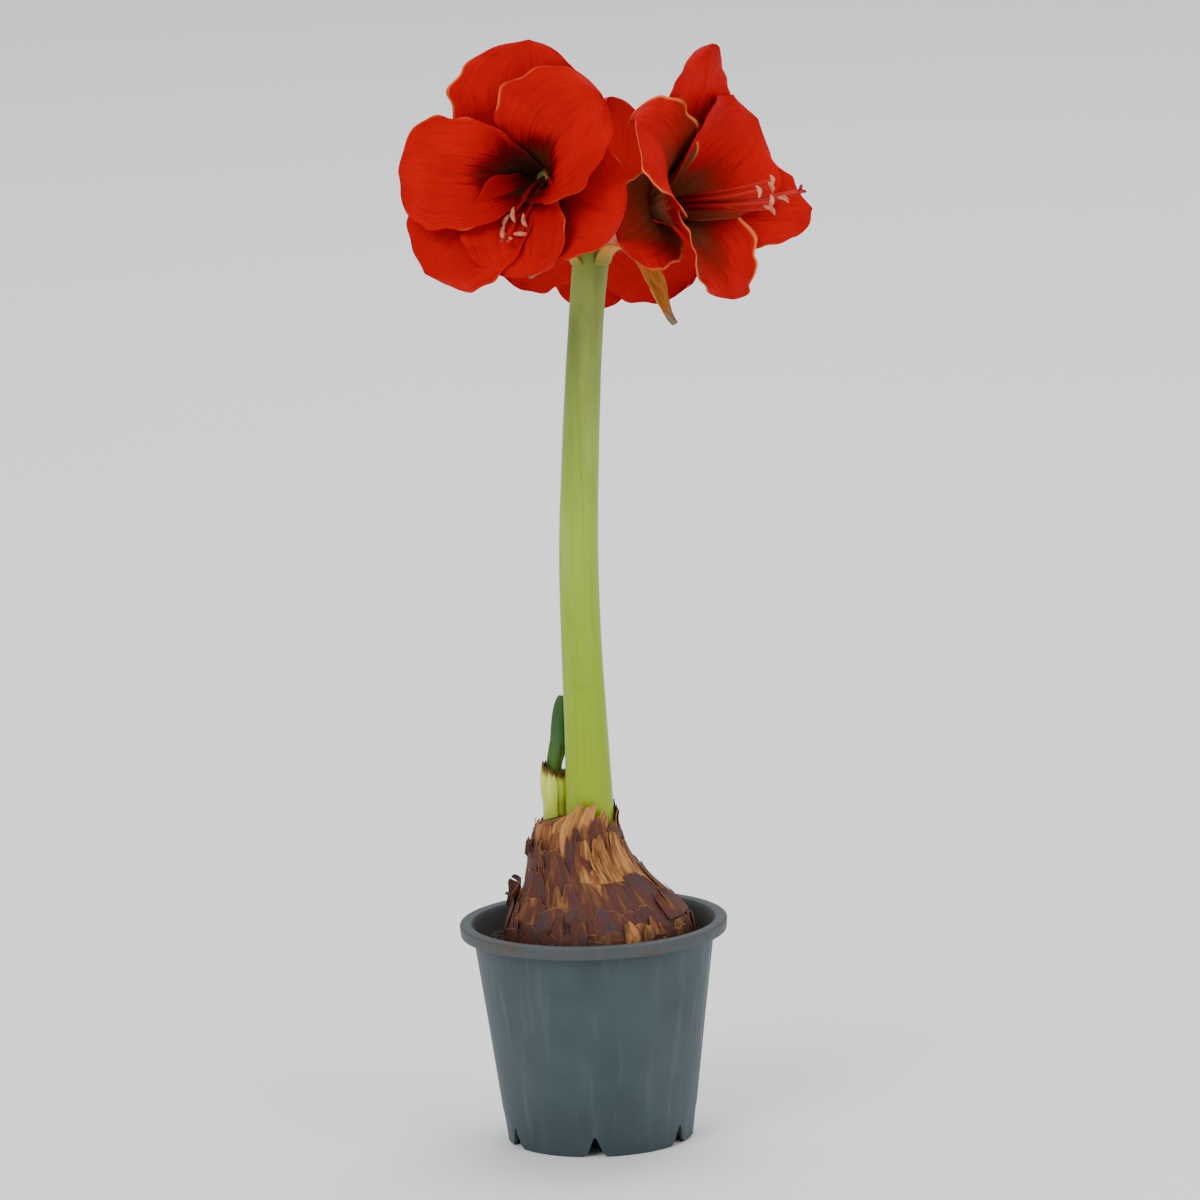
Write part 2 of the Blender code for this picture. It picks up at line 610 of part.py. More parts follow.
def build_bloom(name, spec, number, parts, helpers):
    """One bloom: a short tube, three outer and three inner tepals, six stamens and a style."""
    place = bloom_frame(spec)
    tube_end = -TUBE_LENGTH / spec["size"] + CLEARANCE
    profile = [
        (0, 2 * MM), (TUBE_RADIUS - 1.2 * MM, 2 * MM), (TUBE_RADIUS + 0.6 * MM, -1 * MM),
        (TUBE_RADIUS - 0.4 * MM, -6 * MM), (4.4 * MM, tube_end), (0, tube_end),
    ]
    bloom = freeze(turned(name, profile, 18, parts))
    draw = random.Random(SEED + 200 + number)
    for k, (place_about, length, width, end, lean) in enumerate(spec["tepals"]):
        kind = dict(INNER_TEPAL if k % 2 else OUTER_TEPAL, width=width * MM, end=end, lean=lean)
        point_at = tepal_point(kind, math.radians(place_about), length * MM, draw.uniform(0, 6))
        sheet(f"tepal_{k}", point_at, TEPAL_ROWS, TEPAL_COLUMNS, TEPAL_THICKNESS, helpers, crowd=1.4)
    for k in range(6):
        path = thread_path(FILAMENT_WAYS[name], 2 * math.pi * (k + 0.5) / 6, 1.0 if k % 2 else 0.93, 5)
        tube(f"filament_{k}", path, [FILAMENT_RADIUS] * len(path), 5, helpers)
        across = Vector((math.cos(k), 0.3 * math.sin(2.0 * k), 0.25)).normalized()
        half = across * ANTHER_LENGTH / 2
        middle = path[-1] - Vector((0, 0, 0.3 * MM))
        radii = [0.6 * MM, 1.3 * MM, 0.6 * MM]
        tube(f"anther_{k}", [middle - half, middle, middle + half], radii, 6, helpers)
    style = thread_path(STYLE_WAYS[name], 0, 1.0, 6)
    tube("style", style, [0.9 * MM] * len(style), 5, helpers)
    tip = style[-1]
    for k in range(3):
        angle = math.radians(90 + 120 * k)
        reach = Vector((math.cos(angle), math.sin(angle), 0.5)) * 2.6 * MM
        tube(f"stigma_{k}", [tip - Vector((0, 0, 1.2 * MM)), tip + reach], [0.9 * MM, 0.6 * MM], 5, helpers)
    bloom = boolean(bloom, helpers, "UNION", "MANIFOLD")
    bloom.data.transform(place)
    return finish(bloom, "petal")


def build_scape(parts, helpers):
    """The flower stem with its pedicels and ovaries, grown as one piece."""
    points = scape_points()
    scape = tube("scape", [Vector(p[:3]) for p in points], [p[3] for p in points], SCAPE_SIDES, parts)
    for name, spec in BLOOMS.items():
        place = bloom_frame(spec)
        axis = place.to_3x3() @ Vector((0, 0, 1))
        axis.normalize()
        top = place.translation - axis * TUBE_LENGTH
        foot = top - axis * OVARY_LENGTH
        rise = Vector((0, 0, 1))
        way = smooth_points([
            tuple(UMBEL - rise * 5 * MM), tuple(UMBEL + (foot - UMBEL) * 0.35 + rise * 2.5 * MM),
            tuple(foot - axis * 5 * MM), tuple(foot + axis * 1 * MM),
        ], 6)
        tube(f"pedicel_{name}", [Vector(p) for p in way], [PEDICEL_RADIUS] * len(way), 10, helpers)
        along = [(-1.0, 0.72), (2.0, 0.86), (6.0, 1.0), (10.0, 0.95), (15.0, 0.8)]
        stations = [foot + axis * t * MM for t, _ in along]
        tube(f"ovary_{name}", stations, [OVARY_RADIUS * r for _, r in along], 12, helpers)
    return finish(boolean(scape, helpers, "UNION"), "scape")


def build_spathe(name, spec, parts):
    """One withered papery bract, falling away from the top of the scape."""
    heading = math.radians(spec["heading"])
    out = Vector((math.sin(heading), -math.cos(heading), 0))
    side = Vector((math.cos(heading), math.sin(heading), 0))
    rise = Vector((0, 0, 1))
    foot = Vector((9.9 * MM, 0, 429 * MM)) + out * (8.55 * MM + CLEARANCE + SPATHE_THICKNESS)
    steps = 24

    def point_at(s, v):
        place = foot.copy()
        slope = math.radians(8)
        for i in range(steps):
            t = (i + 0.5) / steps * s
            slope = math.radians(8 + (spec["end"] - 8) * min(1, t * 2.2) ** 0.8)
            place += (out * math.sin(slope) + rise * math.cos(slope)) * spec["length"] * s / steps
        half = spec["width"] / 2 * (0.62 + 0.6 * s) * max(0.0, 1 - s ** 2.2) + 0.7 * MM
        bend = 8.6 * MM + 8 * MM * s
        arc = v * half / bend
        inward = -out * math.cos(slope) + rise * math.sin(slope)
        crumple = 1.1 * MM * s * math.sin(9 * s + 4 * v)
        return place + side * bend * math.sin(arc) + inward * (bend * (1 - math.cos(arc)) + crumple)

    return finish(sheet(name, point_at, 9, 4, SPATHE_THICKNESS, parts), "spathe")


def build_shoot(parts, cutters):
    """The young shoot: one dark leaf in its pale sheath."""
    place = SHOOT_PLACE
    top = SHEATH_TOP
    rows = [
        (0, SHOOT_BASE + 2 * MM), (SHEATH_RADIUS - SHEATH_WALL, SHOOT_BASE + 2 * MM),
        (SHEATH_RADIUS - SHEATH_WALL, SHEATH_SWELL_FROM), (SHEATH_RADIUS - SHEATH_WALL, top - 10 * MM),
        (SHEATH_RADIUS - SHEATH_WALL + 0.3 * MM, top), (SHEATH_RADIUS + 0.1 * MM, top),
        (SHEATH_RADIUS, top - 10 * MM),
        (SHEATH_RADIUS, SHEATH_SWELL_FROM), (SHEATH_RADIUS, SHOOT_BASE), (0, SHOOT_BASE),
    ]
    sheath = freeze(turned("leaf_sheath", rows, 18, parts))
    for vertex in sheath.data.vertices:
        share = max(0, (vertex.co.z - SHOOT_BASE - 20 * MM) / (top - SHOOT_BASE - 20 * MM))
        along = min(1, max(0, (vertex.co.z - SHEATH_SWELL_FROM) / (top - SHEATH_SWELL_FROM)))
        swell = 1 + SHEATH_SWELL / SHEATH_RADIUS * math.sin(math.pi * along)
        vertex.co.x *= swell
        vertex.co.y *= swell
        vertex.co.z -= share * (2.5 * MM + vertex.co.x * 0.45 + 0.8 * MM * math.sin(vertex.co.y * 900))
    sheath.data.transform(Matrix.Translation(place))
    finish(sheath, "sheath")
    low = SHOOT_BASE + 2 * MM + CLEARANCE

    def point_at(s, v):
        z = low + (LEAF_TOP - low) * s
        inside = min(1, max(0, (z - 183 * MM) / (12 * MM)))
        half = (3.2 * MM + (LEAF_WIDTH / 2 - 3.2 * MM) * inside) * max(0.0, 1 - s ** 9) ** 0.5 + 0.4 * MM
        fold = 1.5 * MM * abs(v) ** 1.6
        lean = 3.0 * MM * inside * s
        return place + Vector((lean + half * v, fold - 0.8 * MM, z))

    finish(sheet("young_leaf", point_at, 12, 4, LEAF_THICKNESS, parts), "leaf")


def stand_over_origin(parts):
    """Moves the plant so that the middle of its footprint is over the origin."""
    corners = [obj.matrix_world @ Vector(c) for obj in parts.objects for c in obj.bound_box]
    middle = [(min(c[i] for c in corners) + max(c[i] for c in corners)) / 2 for i in range(2)]
    for obj in parts.objects:
        obj.location -= Vector((middle[0], middle[1], 0))


def main():
    for obj in list(bpy.data.objects):
        bpy.data.objects.remove(obj, do_unlink=True)
    parts = new_collection("Potted amaryllis")
    cutters = new_collection("Cutters")
    helpers = new_collection("Helpers")
    build_pot(parts, cutters)
    build_soil(parts, cutters, helpers)
    finish(root_mass("roots", 0, parts, helpers), "root")
    build_bulb(parts, cutters)
    build_scape(parts, helpers)
    for number, (name, spec) in enumerate(BLOOMS.items()):
        build_bloom(name, spec, number, parts, helpers)
    for name, spec in SPATHES.items():
        build_spathe(name, spec, parts)
    build_shoot(parts, cutters)
    bpy.context.view_layer.update()
    stand_over_origin(parts)


main()
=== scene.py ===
"""A potted amaryllis in flower, dressed over its CAD solids.

The plant is drawn in metres from the pot's axis, with the floor at z = 0, and each piece is then set
over the pot that the frame holds.
"""

import math
import random

import bpy
import numpy as np
from mathutils import Matrix, Quaternion, Vector, noise


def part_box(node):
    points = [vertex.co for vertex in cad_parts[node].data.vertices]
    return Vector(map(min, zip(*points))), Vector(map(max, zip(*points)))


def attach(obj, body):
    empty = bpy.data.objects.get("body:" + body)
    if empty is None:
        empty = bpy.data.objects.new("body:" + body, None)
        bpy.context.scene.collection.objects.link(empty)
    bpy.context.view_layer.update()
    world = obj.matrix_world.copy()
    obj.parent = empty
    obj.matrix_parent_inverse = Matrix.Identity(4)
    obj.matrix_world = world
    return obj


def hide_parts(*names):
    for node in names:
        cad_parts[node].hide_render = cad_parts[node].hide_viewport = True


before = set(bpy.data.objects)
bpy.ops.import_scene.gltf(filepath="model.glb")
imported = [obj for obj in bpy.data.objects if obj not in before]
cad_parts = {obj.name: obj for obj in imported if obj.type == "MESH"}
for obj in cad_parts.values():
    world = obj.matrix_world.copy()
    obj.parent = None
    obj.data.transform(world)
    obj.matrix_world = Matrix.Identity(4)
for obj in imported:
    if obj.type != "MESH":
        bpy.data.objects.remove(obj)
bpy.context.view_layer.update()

# Pot: a thin nursery pot, injection moulded in blue-grey polypropylene, with a rolled lip, a raised
# floor with drain holes, and a foot ring notched in six places so that water can run out.
MM = 0.001
pot_low, pot_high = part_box("pot")
POT_AXIS = Vector(((pot_low.x + pot_high.x) / 2, (pot_low.y + pot_high.y) / 2, 0))
POT_HEIGHT = 108 * MM
POT_RIM_RADIUS = 65 * MM
POT_WALL = 1.3 * MM
POT_TOP_RADIUS = 59.4 * MM
POT_FOOT_RADIUS = 45.0 * MM
POT_LIP_DROP = 6.2 * MM
POT_FLOOR_HEIGHT = 11.5 * MM
NOTCH_WIDTH = 12 * MM
NOTCH_HEIGHT = 10 * MM
NOTCHES = 6
FIRST_NOTCH = math.radians(-93.7)
DRAIN_CIRCLE = 30 * MM
DRAIN_RADIUS = 3.5 * MM


def srgb(red, green, blue):
    """A colour seen as 0 to 255 values, as the linear numbers that shaders take."""
    seen = [value / 255 for value in (red, green, blue)]
    return (*[c / 12.92 if c <= 0.04 else ((c + 0.055) / 1.055) ** 2.4 for c in seen], 1.0)


class Wire:
    """A socket of a node tree: sums on it add Math nodes, and node() adds any other node."""

    def __init__(self, tree, socket=None):
        self.tree = tree
        self.socket = socket

    def node(self, kind, inputs=None, output=0, stops=(), **settings):
        made = self.tree.nodes.new(kind)
        for name, value in settings.items():
            setattr(made, name, value)
        if stops:
            elements = made.color_ramp.elements
            elements.remove(elements[1])
            elements[0].position, elements[0].color = stops[0]
            for place, colour in stops[1:]:
                elements.new(place).color = colour
        for key, value in (inputs or {}).items():
            if isinstance(value, Wire):
                self.tree.links.new(value.socket, made.inputs[key])
            else:
                made.inputs[key].default_value = value
        return Wire(self.tree, made.outputs[output])

    def math(self, operation, *others):
        return self.node("ShaderNodeMath", dict(enumerate((self, *others))), operation=operation)

    def __add__(self, other):
        return self.math("ADD", other)

    __radd__ = __add__

    def __sub__(self, other):
        return self.math("SUBTRACT", other)

    def __rsub__(self, other):
        return self.node("ShaderNodeMath", {0: other, 1: self}, operation="SUBTRACT")

    def __mul__(self, other):
        return self.math("MULTIPLY", other)

    __rmul__ = __mul__

    def __truediv__(self, other):
        return self.math("DIVIDE", other)

    def __pow__(self, other):
        return self.math("POWER", other)

    def clip(self, low, high):
        """0 below low, 1 above high and smooth between them; low may be the larger."""
        inputs = {0: self, 1: low, 2: high}
        return self.node("ShaderNodeMapRange", inputs, interpolation_type="SMOOTHSTEP")

    def mix(self, low, high):
        """The colour low where this is 0 and high where it is 1."""
        return self.node("ShaderNodeMix", {0: self, 6: low, 7: high}, output=2, data_type="RGBA")

    def part(self, axis):
        """One axis of a vector, as X, Y or Z."""
        return self.node("ShaderNodeSeparateXYZ", {0: self}, output="XYZ".index(axis))

    def grain(self, stretch, scale=1.0, detail=3.0, roughness=0.55):
        """Noise at this vector times stretch, the number of blotches a metre, alike or for each axis."""
        stretch = stretch if isinstance(stretch, tuple) else (stretch,) * 3
        where = self.node("ShaderNodeVectorMath", {0: self, 1: stretch}, operation="MULTIPLY")
        return self.node("ShaderNodeTexNoise", {
            "Vector": where, "Scale": scale, "Detail": detail, "Roughness": roughness,
        })

    def vector(self, x=0.0, y=0.0, z=0.0):
        """A vector of three numbers or wires."""
        return self.node("ShaderNodeCombineXYZ", {0: x, 1: y, 2: z})

    def rotation(self, *angles):
        """A turn about X, Y and Z, in radians."""
        return self.node("FunctionNodeEulerToRotation", {0: self.vector(*angles)})

    def place(self):
        """Where a point of the piece lies, in metres."""
        return self.node("ShaderNodeTexCoord", output=3)

    def chart(self):
        """How far along and how far across its sheet a point lies, each from 0 to 1."""
        where = self.node("ShaderNodeUVMap", uv_map="chart")
        return where.part("X"), where.part("Y")

    def mark(self, name):
        """A number that the mesh carries at each point."""
        return self.node("ShaderNodeAttribute", output=2, attribute_name=name)

    def painted(self, material):
        return self.node("GeometryNodeSetMaterial", {"Geometry": self, "Material": material})

    def realized(self):
        return self.node("GeometryNodeRealizeInstances", {0: self})

    def joined(self, *others):
        together = self.node("GeometryNodeJoinGeometry", {0: self})
        for other in others:
            self.tree.links.new(other.socket, together.socket.node.inputs[0])
        return together


def paint(name, mixing, **fixed):
    """A material: mixing(wire) gives its colour, roughness, relief from 0 to 1 and that relief's depth."""
    material = bpy.data.materials.new(name)
    material.use_nodes = True
    shader = material.node_tree.nodes["Principled BSDF"]
    for socket, value in fixed.items():
        shader.inputs[socket.replace("_", " ")].default_value = value
    wire = Wire(material.node_tree)
    colour, roughness, relief, depth = mixing(wire)
    bump = wire.node("ShaderNodeBump", {"Height": relief, "Distance": depth, "Strength": 1.0})
    for socket, value in (("Base Color", colour), ("Roughness", roughness), ("Normal", bump)):
        if isinstance(value, Wire):
            material.node_tree.links.new(value.socket, shader.inputs[socket])
        else:
            shader.inputs[socket].default_value = value
    return material


def new_tree(name, **inputs):
    """A Geometry Nodes tree with named inputs, and a wire from each of them."""
    tree = bpy.data.node_groups.new(name, "GeometryNodeTree")
    tree.interface.new_socket("Geometry", in_out="OUTPUT", socket_type="NodeSocketGeometry")
    tree.interface.new_socket("Geometry", in_out="INPUT", socket_type="NodeSocketGeometry")
    for label, kind in inputs.items():
        tree.interface.new_socket(label, in_out="INPUT", socket_type="NodeSocket" + kind)
    source = tree.nodes.new("NodeGroupInput")
    return tree, {socket.name: Wire(tree, socket) for socket in source.outputs if socket.name}


def end_tree(geometry):
    """Makes this wire the tree's result."""
    result = geometry.tree.nodes.new("NodeGroupOutput")
    geometry.tree.links.new(geometry.socket, result.inputs[0])


def add_tree(obj, tree, **values):
    """Gives an object a tree, with the named inputs set by their sockets' identifiers."""
    modifier = obj.modifiers.new(tree.name, "NODES")
    modifier.node_group = tree
    for item in tree.interface.items_tree:
        if item.in_out == "INPUT" and item.name in values:
            modifier[item.identifier] = values[item.name]


def plain(obj, move=None):
    """The object's finished shape as a plain smooth mesh, moved by a matrix and set over the pot."""
    bpy.context.view_layer.update()
    mesh = bpy.data.meshes.new_from_object(obj.evaluated_get(bpy.context.evaluated_depsgraph_get()))
    name, materials = obj.name, list(obj.data.materials)
    bpy.data.objects.remove(obj, do_unlink=True)
    mesh.transform(Matrix.Translation(POT_AXIS) @ (move or Matrix.Identity(4)))
    mesh.shade_smooth()
    if not mesh.materials:
        for material in materials:
            mesh.materials.append(material)
    made = bpy.data.objects.new(name, mesh)
    bpy.context.scene.collection.objects.link(made)
    return made


def settle(piece, slot, *nodes):
    """Rides a finished piece on the plant in place of its CAD nodes; the slot is not used."""
    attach(piece, "root")
    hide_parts(*nodes)


def shape(name, vertices, edges=(), faces=(), material=None):
    """A new object from its points."""
    mesh = bpy.data.meshes.new(name)
    mesh.from_pydata([tuple(v) for v in vertices], edges, faces)
    if material:
        mesh.materials.append(material)
    obj = bpy.data.objects.new(name, mesh)
    bpy.context.scene.collection.objects.link(obj)
    return obj


def turned(name, profile, steps, material):
    """A solid turned about Z from (radius, height) points down its outer side, as live modifiers."""
    points = [(radius, 0, height) for radius, height in profile]
    obj = shape(name, points, [(i, i + 1) for i in range(len(points) - 1)], material=material)
    screw = obj.modifiers.new("Turn", "SCREW")
    screw.steps = screw.render_steps = steps
    screw.use_merge_vertices = True
    screw.merge_threshold = 0.01 * MM
    screw.use_normal_calculate = False
    return obj


def wall_radius(height):
    """The pot wall's outer radius at a height."""
    return POT_FOOT_RADIUS + (POT_TOP_RADIUS - POT_FOOT_RADIUS) * height / POT_HEIGHT


def rounded(corner, radius, first, last, count=6):
    """Points round a corner of the profile, about corner, from one angle to another in degrees."""
    angles = [math.radians(first + (last - first) * i / (count - 1)) for i in range(count)]
    return [(corner[0] + radius * math.cos(a), corner[1] + radius * math.sin(a)) for a in angles]


def pot_plastic(wire):
    where = wire.place()
    height, flow = where.part("Z"), where.grain((160, 160, 9))
    speckle, cloud = where.grain(900, detail=2), where.grain((28, 28, 22), detail=4)
    body = cloud.clip(0.3, 0.75).mix(srgb(49, 64, 68), srgb(62, 77, 81))
    body = (flow.clip(0.52, 0.75) * 0.35).mix(body, srgb(76, 88, 91))
    # The lip is scuffed to a paler grey, and soil has stained it in patches
    scuffed = height.clip(0.0995, 0.103) * (0.45 + cloud * 0.5)
    body = scuffed.mix(body, srgb(72, 74, 75))
    smear = height.clip(0.094, 0.104) * where.grain((45, 45, 70), detail=5).clip(0.56, 0.7) * 0.6
    body = smear.mix(body, srgb(84, 62, 42))
    # Inside, above the soil, the wall is dark with dried splashes
    x, y = where.part("X") - POT_AXIS.x, where.part("Y") - POT_AXIS.y
    out = (x * x + y * y) ** 0.5
    inner_face = 0.0437 + height * 0.1333
    inside = (0.0008 - (out - inner_face)).clip(0.0, 0.0006) * height.clip(0.012, 0.02)
    body = inside.mix(body, cloud.clip(0.3, 0.7).mix(srgb(50, 50, 49), srgb(70, 68, 64)))
    low = (0.012 - height).clip(0.0, 0.012) * speckle.clip(0.45, 0.65) * 0.5
    body = low.mix(body, srgb(46, 44, 40))
    return body, 0.5 + cloud * 0.16 - flow.clip(0.5, 0.7) * 0.08, speckle * 0.6 + flow * 0.4, 0.00012


pot_paint = paint("moulded_pot_plastic", pot_plastic, Specular_IOR_Level=0.35)
tree, given = new_tree(
    "pot_openings", Notches="Int", First_notch="Float", Notch="Object", Drain_circle="Float",
    Drain_radius="Float",
)
wire = Wire(tree)
turn = given["First_notch"] + wire.node("GeometryNodeInputIndex") * (2 * math.pi) / given["Notches"]


def ring_of_points(turn, radius, height):
    """One point at each turn about the pot's axis."""
    spot = turn.vector(turn.math("COSINE") * radius, turn.math("SINE") * radius, height)
    row = turn.node("GeometryNodePoints", {"Count": given["Notches"]})
    return turn.node("GeometryNodeSetPosition", {"Geometry": row, "Position": spot})


notches = wire.node("GeometryNodeInstanceOnPoints", {
    "Points": ring_of_points(turn, POT_FOOT_RADIUS, 0.0),
    "Instance": wire.node("GeometryNodeObjectInfo", {0: given["Notch"]}, output=4),
    "Rotation": wire.rotation(0.0, 0.0, turn),
})
between = ring_of_points(turn + math.pi / NOTCHES, given["Drain_circle"], POT_FLOOR_HEIGHT)
middle = wire.node("GeometryNodePoints", {"Count": 1, "Position": (0, 0, POT_FLOOR_HEIGHT)})
drill = {"Vertices": 28, "Radius": given["Drain_radius"], "Depth": 8 * MM}
holes = wire.node("GeometryNodeInstanceOnPoints", {
    "Points": between.joined(middle), "Instance": wire.node("GeometryNodeMeshCylinder", drill),
})
cut = wire.node("GeometryNodeMeshBoolean", {
    0: given["Geometry"], 1: notches.joined(holes).realized(),
}, operation="DIFFERENCE", solver="EXACT")
end_tree(cut.painted(pot_paint))

half = NOTCH_WIDTH / 2
notch_side = [(half + 1 * MM, -2 * MM), (half, 0)]
notch_side += [(x * half, y * NOTCH_HEIGHT) for x, y in ((0.62, 0.2), (0.42, 0.5), (0.14, 0.94))]
notch_outline = [*notch_side, (0, NOTCH_HEIGHT), *[(-x, y) for x, y in notch_side[::-1]]]
sides = len(notch_outline)
notch_points = [(depth, u, v) for depth in (-8 * MM, 8 * MM) for u, v in notch_outline]
notch_faces = [tuple(range(sides - 1, -1, -1)), tuple(range(sides, 2 * sides))]
notch_faces += [(i, (i + 1) % sides, (i + 1) % sides + sides, i + sides) for i in range(sides)]
notch = shape("notch_cutter", notch_points, faces=notch_faces)

inner = POT_FLOOR_HEIGHT + POT_WALL
top, rim = POT_HEIGHT, POT_RIM_RADIUS
pot_profile = [
    (0, inner), (wall_radius(inner) - POT_WALL - 1.5 * MM, inner),
    (wall_radius(inner) - POT_WALL, inner + 1.5 * MM),
    (wall_radius(60 * MM) - POT_WALL, 60 * MM), (wall_radius(top - 3 * MM) - POT_WALL, top - 3 * MM),
    *rounded((POT_TOP_RADIUS + 0.9 * MM, top - 1.5 * MM), 1.5 * MM, 172, 92),
    *rounded((rim - 1.3 * MM, top - 1.3 * MM), 1.3 * MM, 88, 4),
    *rounded((rim - 1.0 * MM, top - POT_LIP_DROP + 0.7 * MM), 0.65 * MM, -8, -172),
    *rounded((rim - 2.2 * MM, top - 2.2 * MM), 0.75 * MM, 10, 85, 4),
    *rounded((POT_TOP_RADIUS + 1.0 * MM, top - 2.2 * MM), 0.75 * MM, 95, 170, 4),
    (wall_radius(top - 4.4 * MM) + 0.15 * MM, top - 4.4 * MM), (wall_radius(top - 7 * MM), top - 7 * MM),
    (wall_radius(60 * MM), 60 * MM), (wall_radius(16 * MM) + 0.25 * MM, 16 * MM),
    (wall_radius(13 * MM), 13 * MM),
    *rounded((wall_radius(0) - 0.4 * MM, 0.4 * MM), 0.4 * MM, 0, -85, 4),
    (wall_radius(0) - POT_WALL, 0), (wall_radius(POT_FLOOR_HEIGHT) - 2.6 * MM, POT_FLOOR_HEIGHT - 1.2 * MM),
    (wall_radius(POT_FLOOR_HEIGHT) - 4 * MM, POT_FLOOR_HEIGHT), (0, POT_FLOOR_HEIGHT),
]
pot = turned("nursery_pot", pot_profile, 168, pot_paint)
add_tree(
    pot, tree, Notches=NOTCHES, First_notch=FIRST_NOTCH, Notch=notch, Drain_circle=DRAIN_CIRCLE,
    Drain_radius=DRAIN_RADIUS,
)
pot = plain(pot)
pot.data.set_sharp_from_angle(angle=math.radians(38))
bpy.data.objects.remove(notch, do_unlink=True)
settle(pot, "pot", "pot")

# Soil: a dark peat mix, poured in and pressed round the bulb, with loose crumbs and a few pale fibres
# on top.
SOIL_TOP = 97 * MM
CRUMB_RING = (39 * MM, 53 * MM)
CRUMB_BITE = 1.6 * MM
SOIL_LUMPS = ((90, 3.0), (260, 1.6), (700, 1.0))
SEED = 11


def peat(wire):
    where = wire.place()
    clump, fine = where.grain(220, detail=5), where.grain(1500, detail=2)
    colour = clump.clip(0.32, 0.72).mix(srgb(22, 15, 10), srgb(52, 38, 26))
    colour = fine.clip(0.66, 0.8).mix(colour, srgb(84, 66, 46))
    return colour, 0.85 + fine * 0.15, clump * 0.5 + fine * 0.5, 0.0006


def dry_fibre(wire):
    where = wire.place()
    fine = where.grain(700, detail=2)
    return fine.clip(0.3, 0.7).mix(srgb(78, 52, 28), srgb(122, 90, 54)), 0.7 + fine * 0.2, fine, 0.0001


peat_paint = paint("peat_mix", peat)
fibre_paint = paint("peat_fibre", dry_fibre)
tree, given = new_tree("soil_crumbs", Density="Float", Crumb="Float", Fibres="Float", Seed="Int")
wire = Wire(tree)
spot = wire.node("GeometryNodeInputPosition")
facing = wire.node("GeometryNodeInputNormal").part("Z")
out = (spot.part("X") ** 2 + spot.part("Y") ** 2) ** 0.5
beside_bulb = (
    facing.math("GREATER_THAN", 0.6) * spot.part("Z").math("GREATER_THAN", SOIL_TOP - 5 * MM)
    * out.math("GREATER_THAN", CRUMB_RING[0]) * out.math("LESS_THAN", CRUMB_RING[1])
)


def random_number(wire, low, high, seed):
    return wire.node("FunctionNodeRandomValue", {2: low, 3: high, "Seed": seed}, output=1)


crumb_points = wire.node("GeometryNodeDistributePointsOnFaces", {
    "Mesh": given["Geometry"], "Selection": beside_bulb, "Density": given["Density"], "Seed": given["Seed"],
})
crumbs = wire.node("GeometryNodeInstanceOnPoints", {
    "Points": crumb_points,
    "Instance": wire.node("GeometryNodeMeshIcoSphere", {"Radius": given["Crumb"], "Subdivisions": 2}),
    "Rotation": wire.rotation(*[random_number(wire, 0.0, 2 * math.pi, 20 + k) for k in range(3)]),
    "Scale": wire.vector(*[random_number(wire, 0.35, 1.3, 30 + k) for k in range(3)]),
}).realized()
jitter = wire.node("ShaderNodeTexNoise", {"Vector": spot, "Scale": 900.0, "Detail": 2.0}, output=1)
bite = wire.node("ShaderNodeVectorMath", {0: jitter, 1: (0.5, 0.5, 0.5)}, operation="SUBTRACT")
bite = wire.node("ShaderNodeVectorMath", {0: bite, 1: (CRUMB_BITE,) * 3}, operation="MULTIPLY")
crumbs = wire.node("GeometryNodeSetPosition", {"Geometry": crumbs, "Offset": bite}).painted(peat_paint)
fibre_points = wire.node("GeometryNodeDistributePointsOnFaces", {
    "Mesh": given["Geometry"], "Selection": beside_bulb, "Density": given["Fibres"], "Seed": 5,
})
lying = ((1.35, 1.75), (0.0, 0.2), (0.0, 6.3))
fibres = wire.node("GeometryNodeInstanceOnPoints", {
    "Points": fibre_points,
    "Instance": wire.node("GeometryNodeMeshCylinder", {"Vertices": 5, "Radius": 0.22 * MM, "Depth": 7 * MM}),
    "Rotation": wire.rotation(*[random_number(wire, *span, 40 + k) for k, span in enumerate(lying)]),
    "Scale": wire.vector(1.0, 1.0, random_number(wire, 0.4, 1.2, 43)),
}).realized().painted(fibre_paint)
end_tree(given["Geometry"].painted(peat_paint).joined(crumbs, fibres))

soil_edge = wall_radius(SOIL_TOP) - POT_WALL - 0.4 * MM
soil_foot = wall_radius(inner) - POT_WALL - 1.8 * MM
soil_profile = [(r * MM, SOIL_TOP) for r in np.linspace(0, 54, 46)]
soil_profile += [(soil_edge, SOIL_TOP - 1 * MM), (soil_foot, inner + 0.3 * MM), (0, inner + 0.3 * MM)]
soil = plain(turned("potting_soil", soil_profile, 150, peat_paint))
for vertex in soil.data.vertices:
    if vertex.co.z > SOIL_TOP - 0.5 * MM:
        lumps = [noise.noise(vertex.co * fineness) * rise for fineness, rise in SOIL_LUMPS]
        vertex.co.z += sum(lumps) * MM - 0.6 * MM
soil.data.transform(Matrix.Translation(-POT_AXIS))
add_tree(soil, tree, Density=360000.0, Crumb=1.3 * MM, Fibres=22000.0, Seed=SEED)
settle(plain(soil), "soil", "soil")


# Roots: thick pale roots that run down and out from the base of the bulb, inside the soil.
def root_skin(wire):
    where = wire.place()
    blotch, fine = where.grain((180, 180, 60), detail=4), where.grain((1200, 1200, 500), detail=2)
    colour = blotch.clip(0.35, 0.7).mix(srgb(206, 190, 156), srgb(158, 128, 88))
    return colour, 0.6 + fine * 0.2, fine, 0.0002


root_paint = paint("fleshy_root", root_skin)
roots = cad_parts["roots"]
roots.data.materials.clear()
roots.data.materials.append(root_paint)

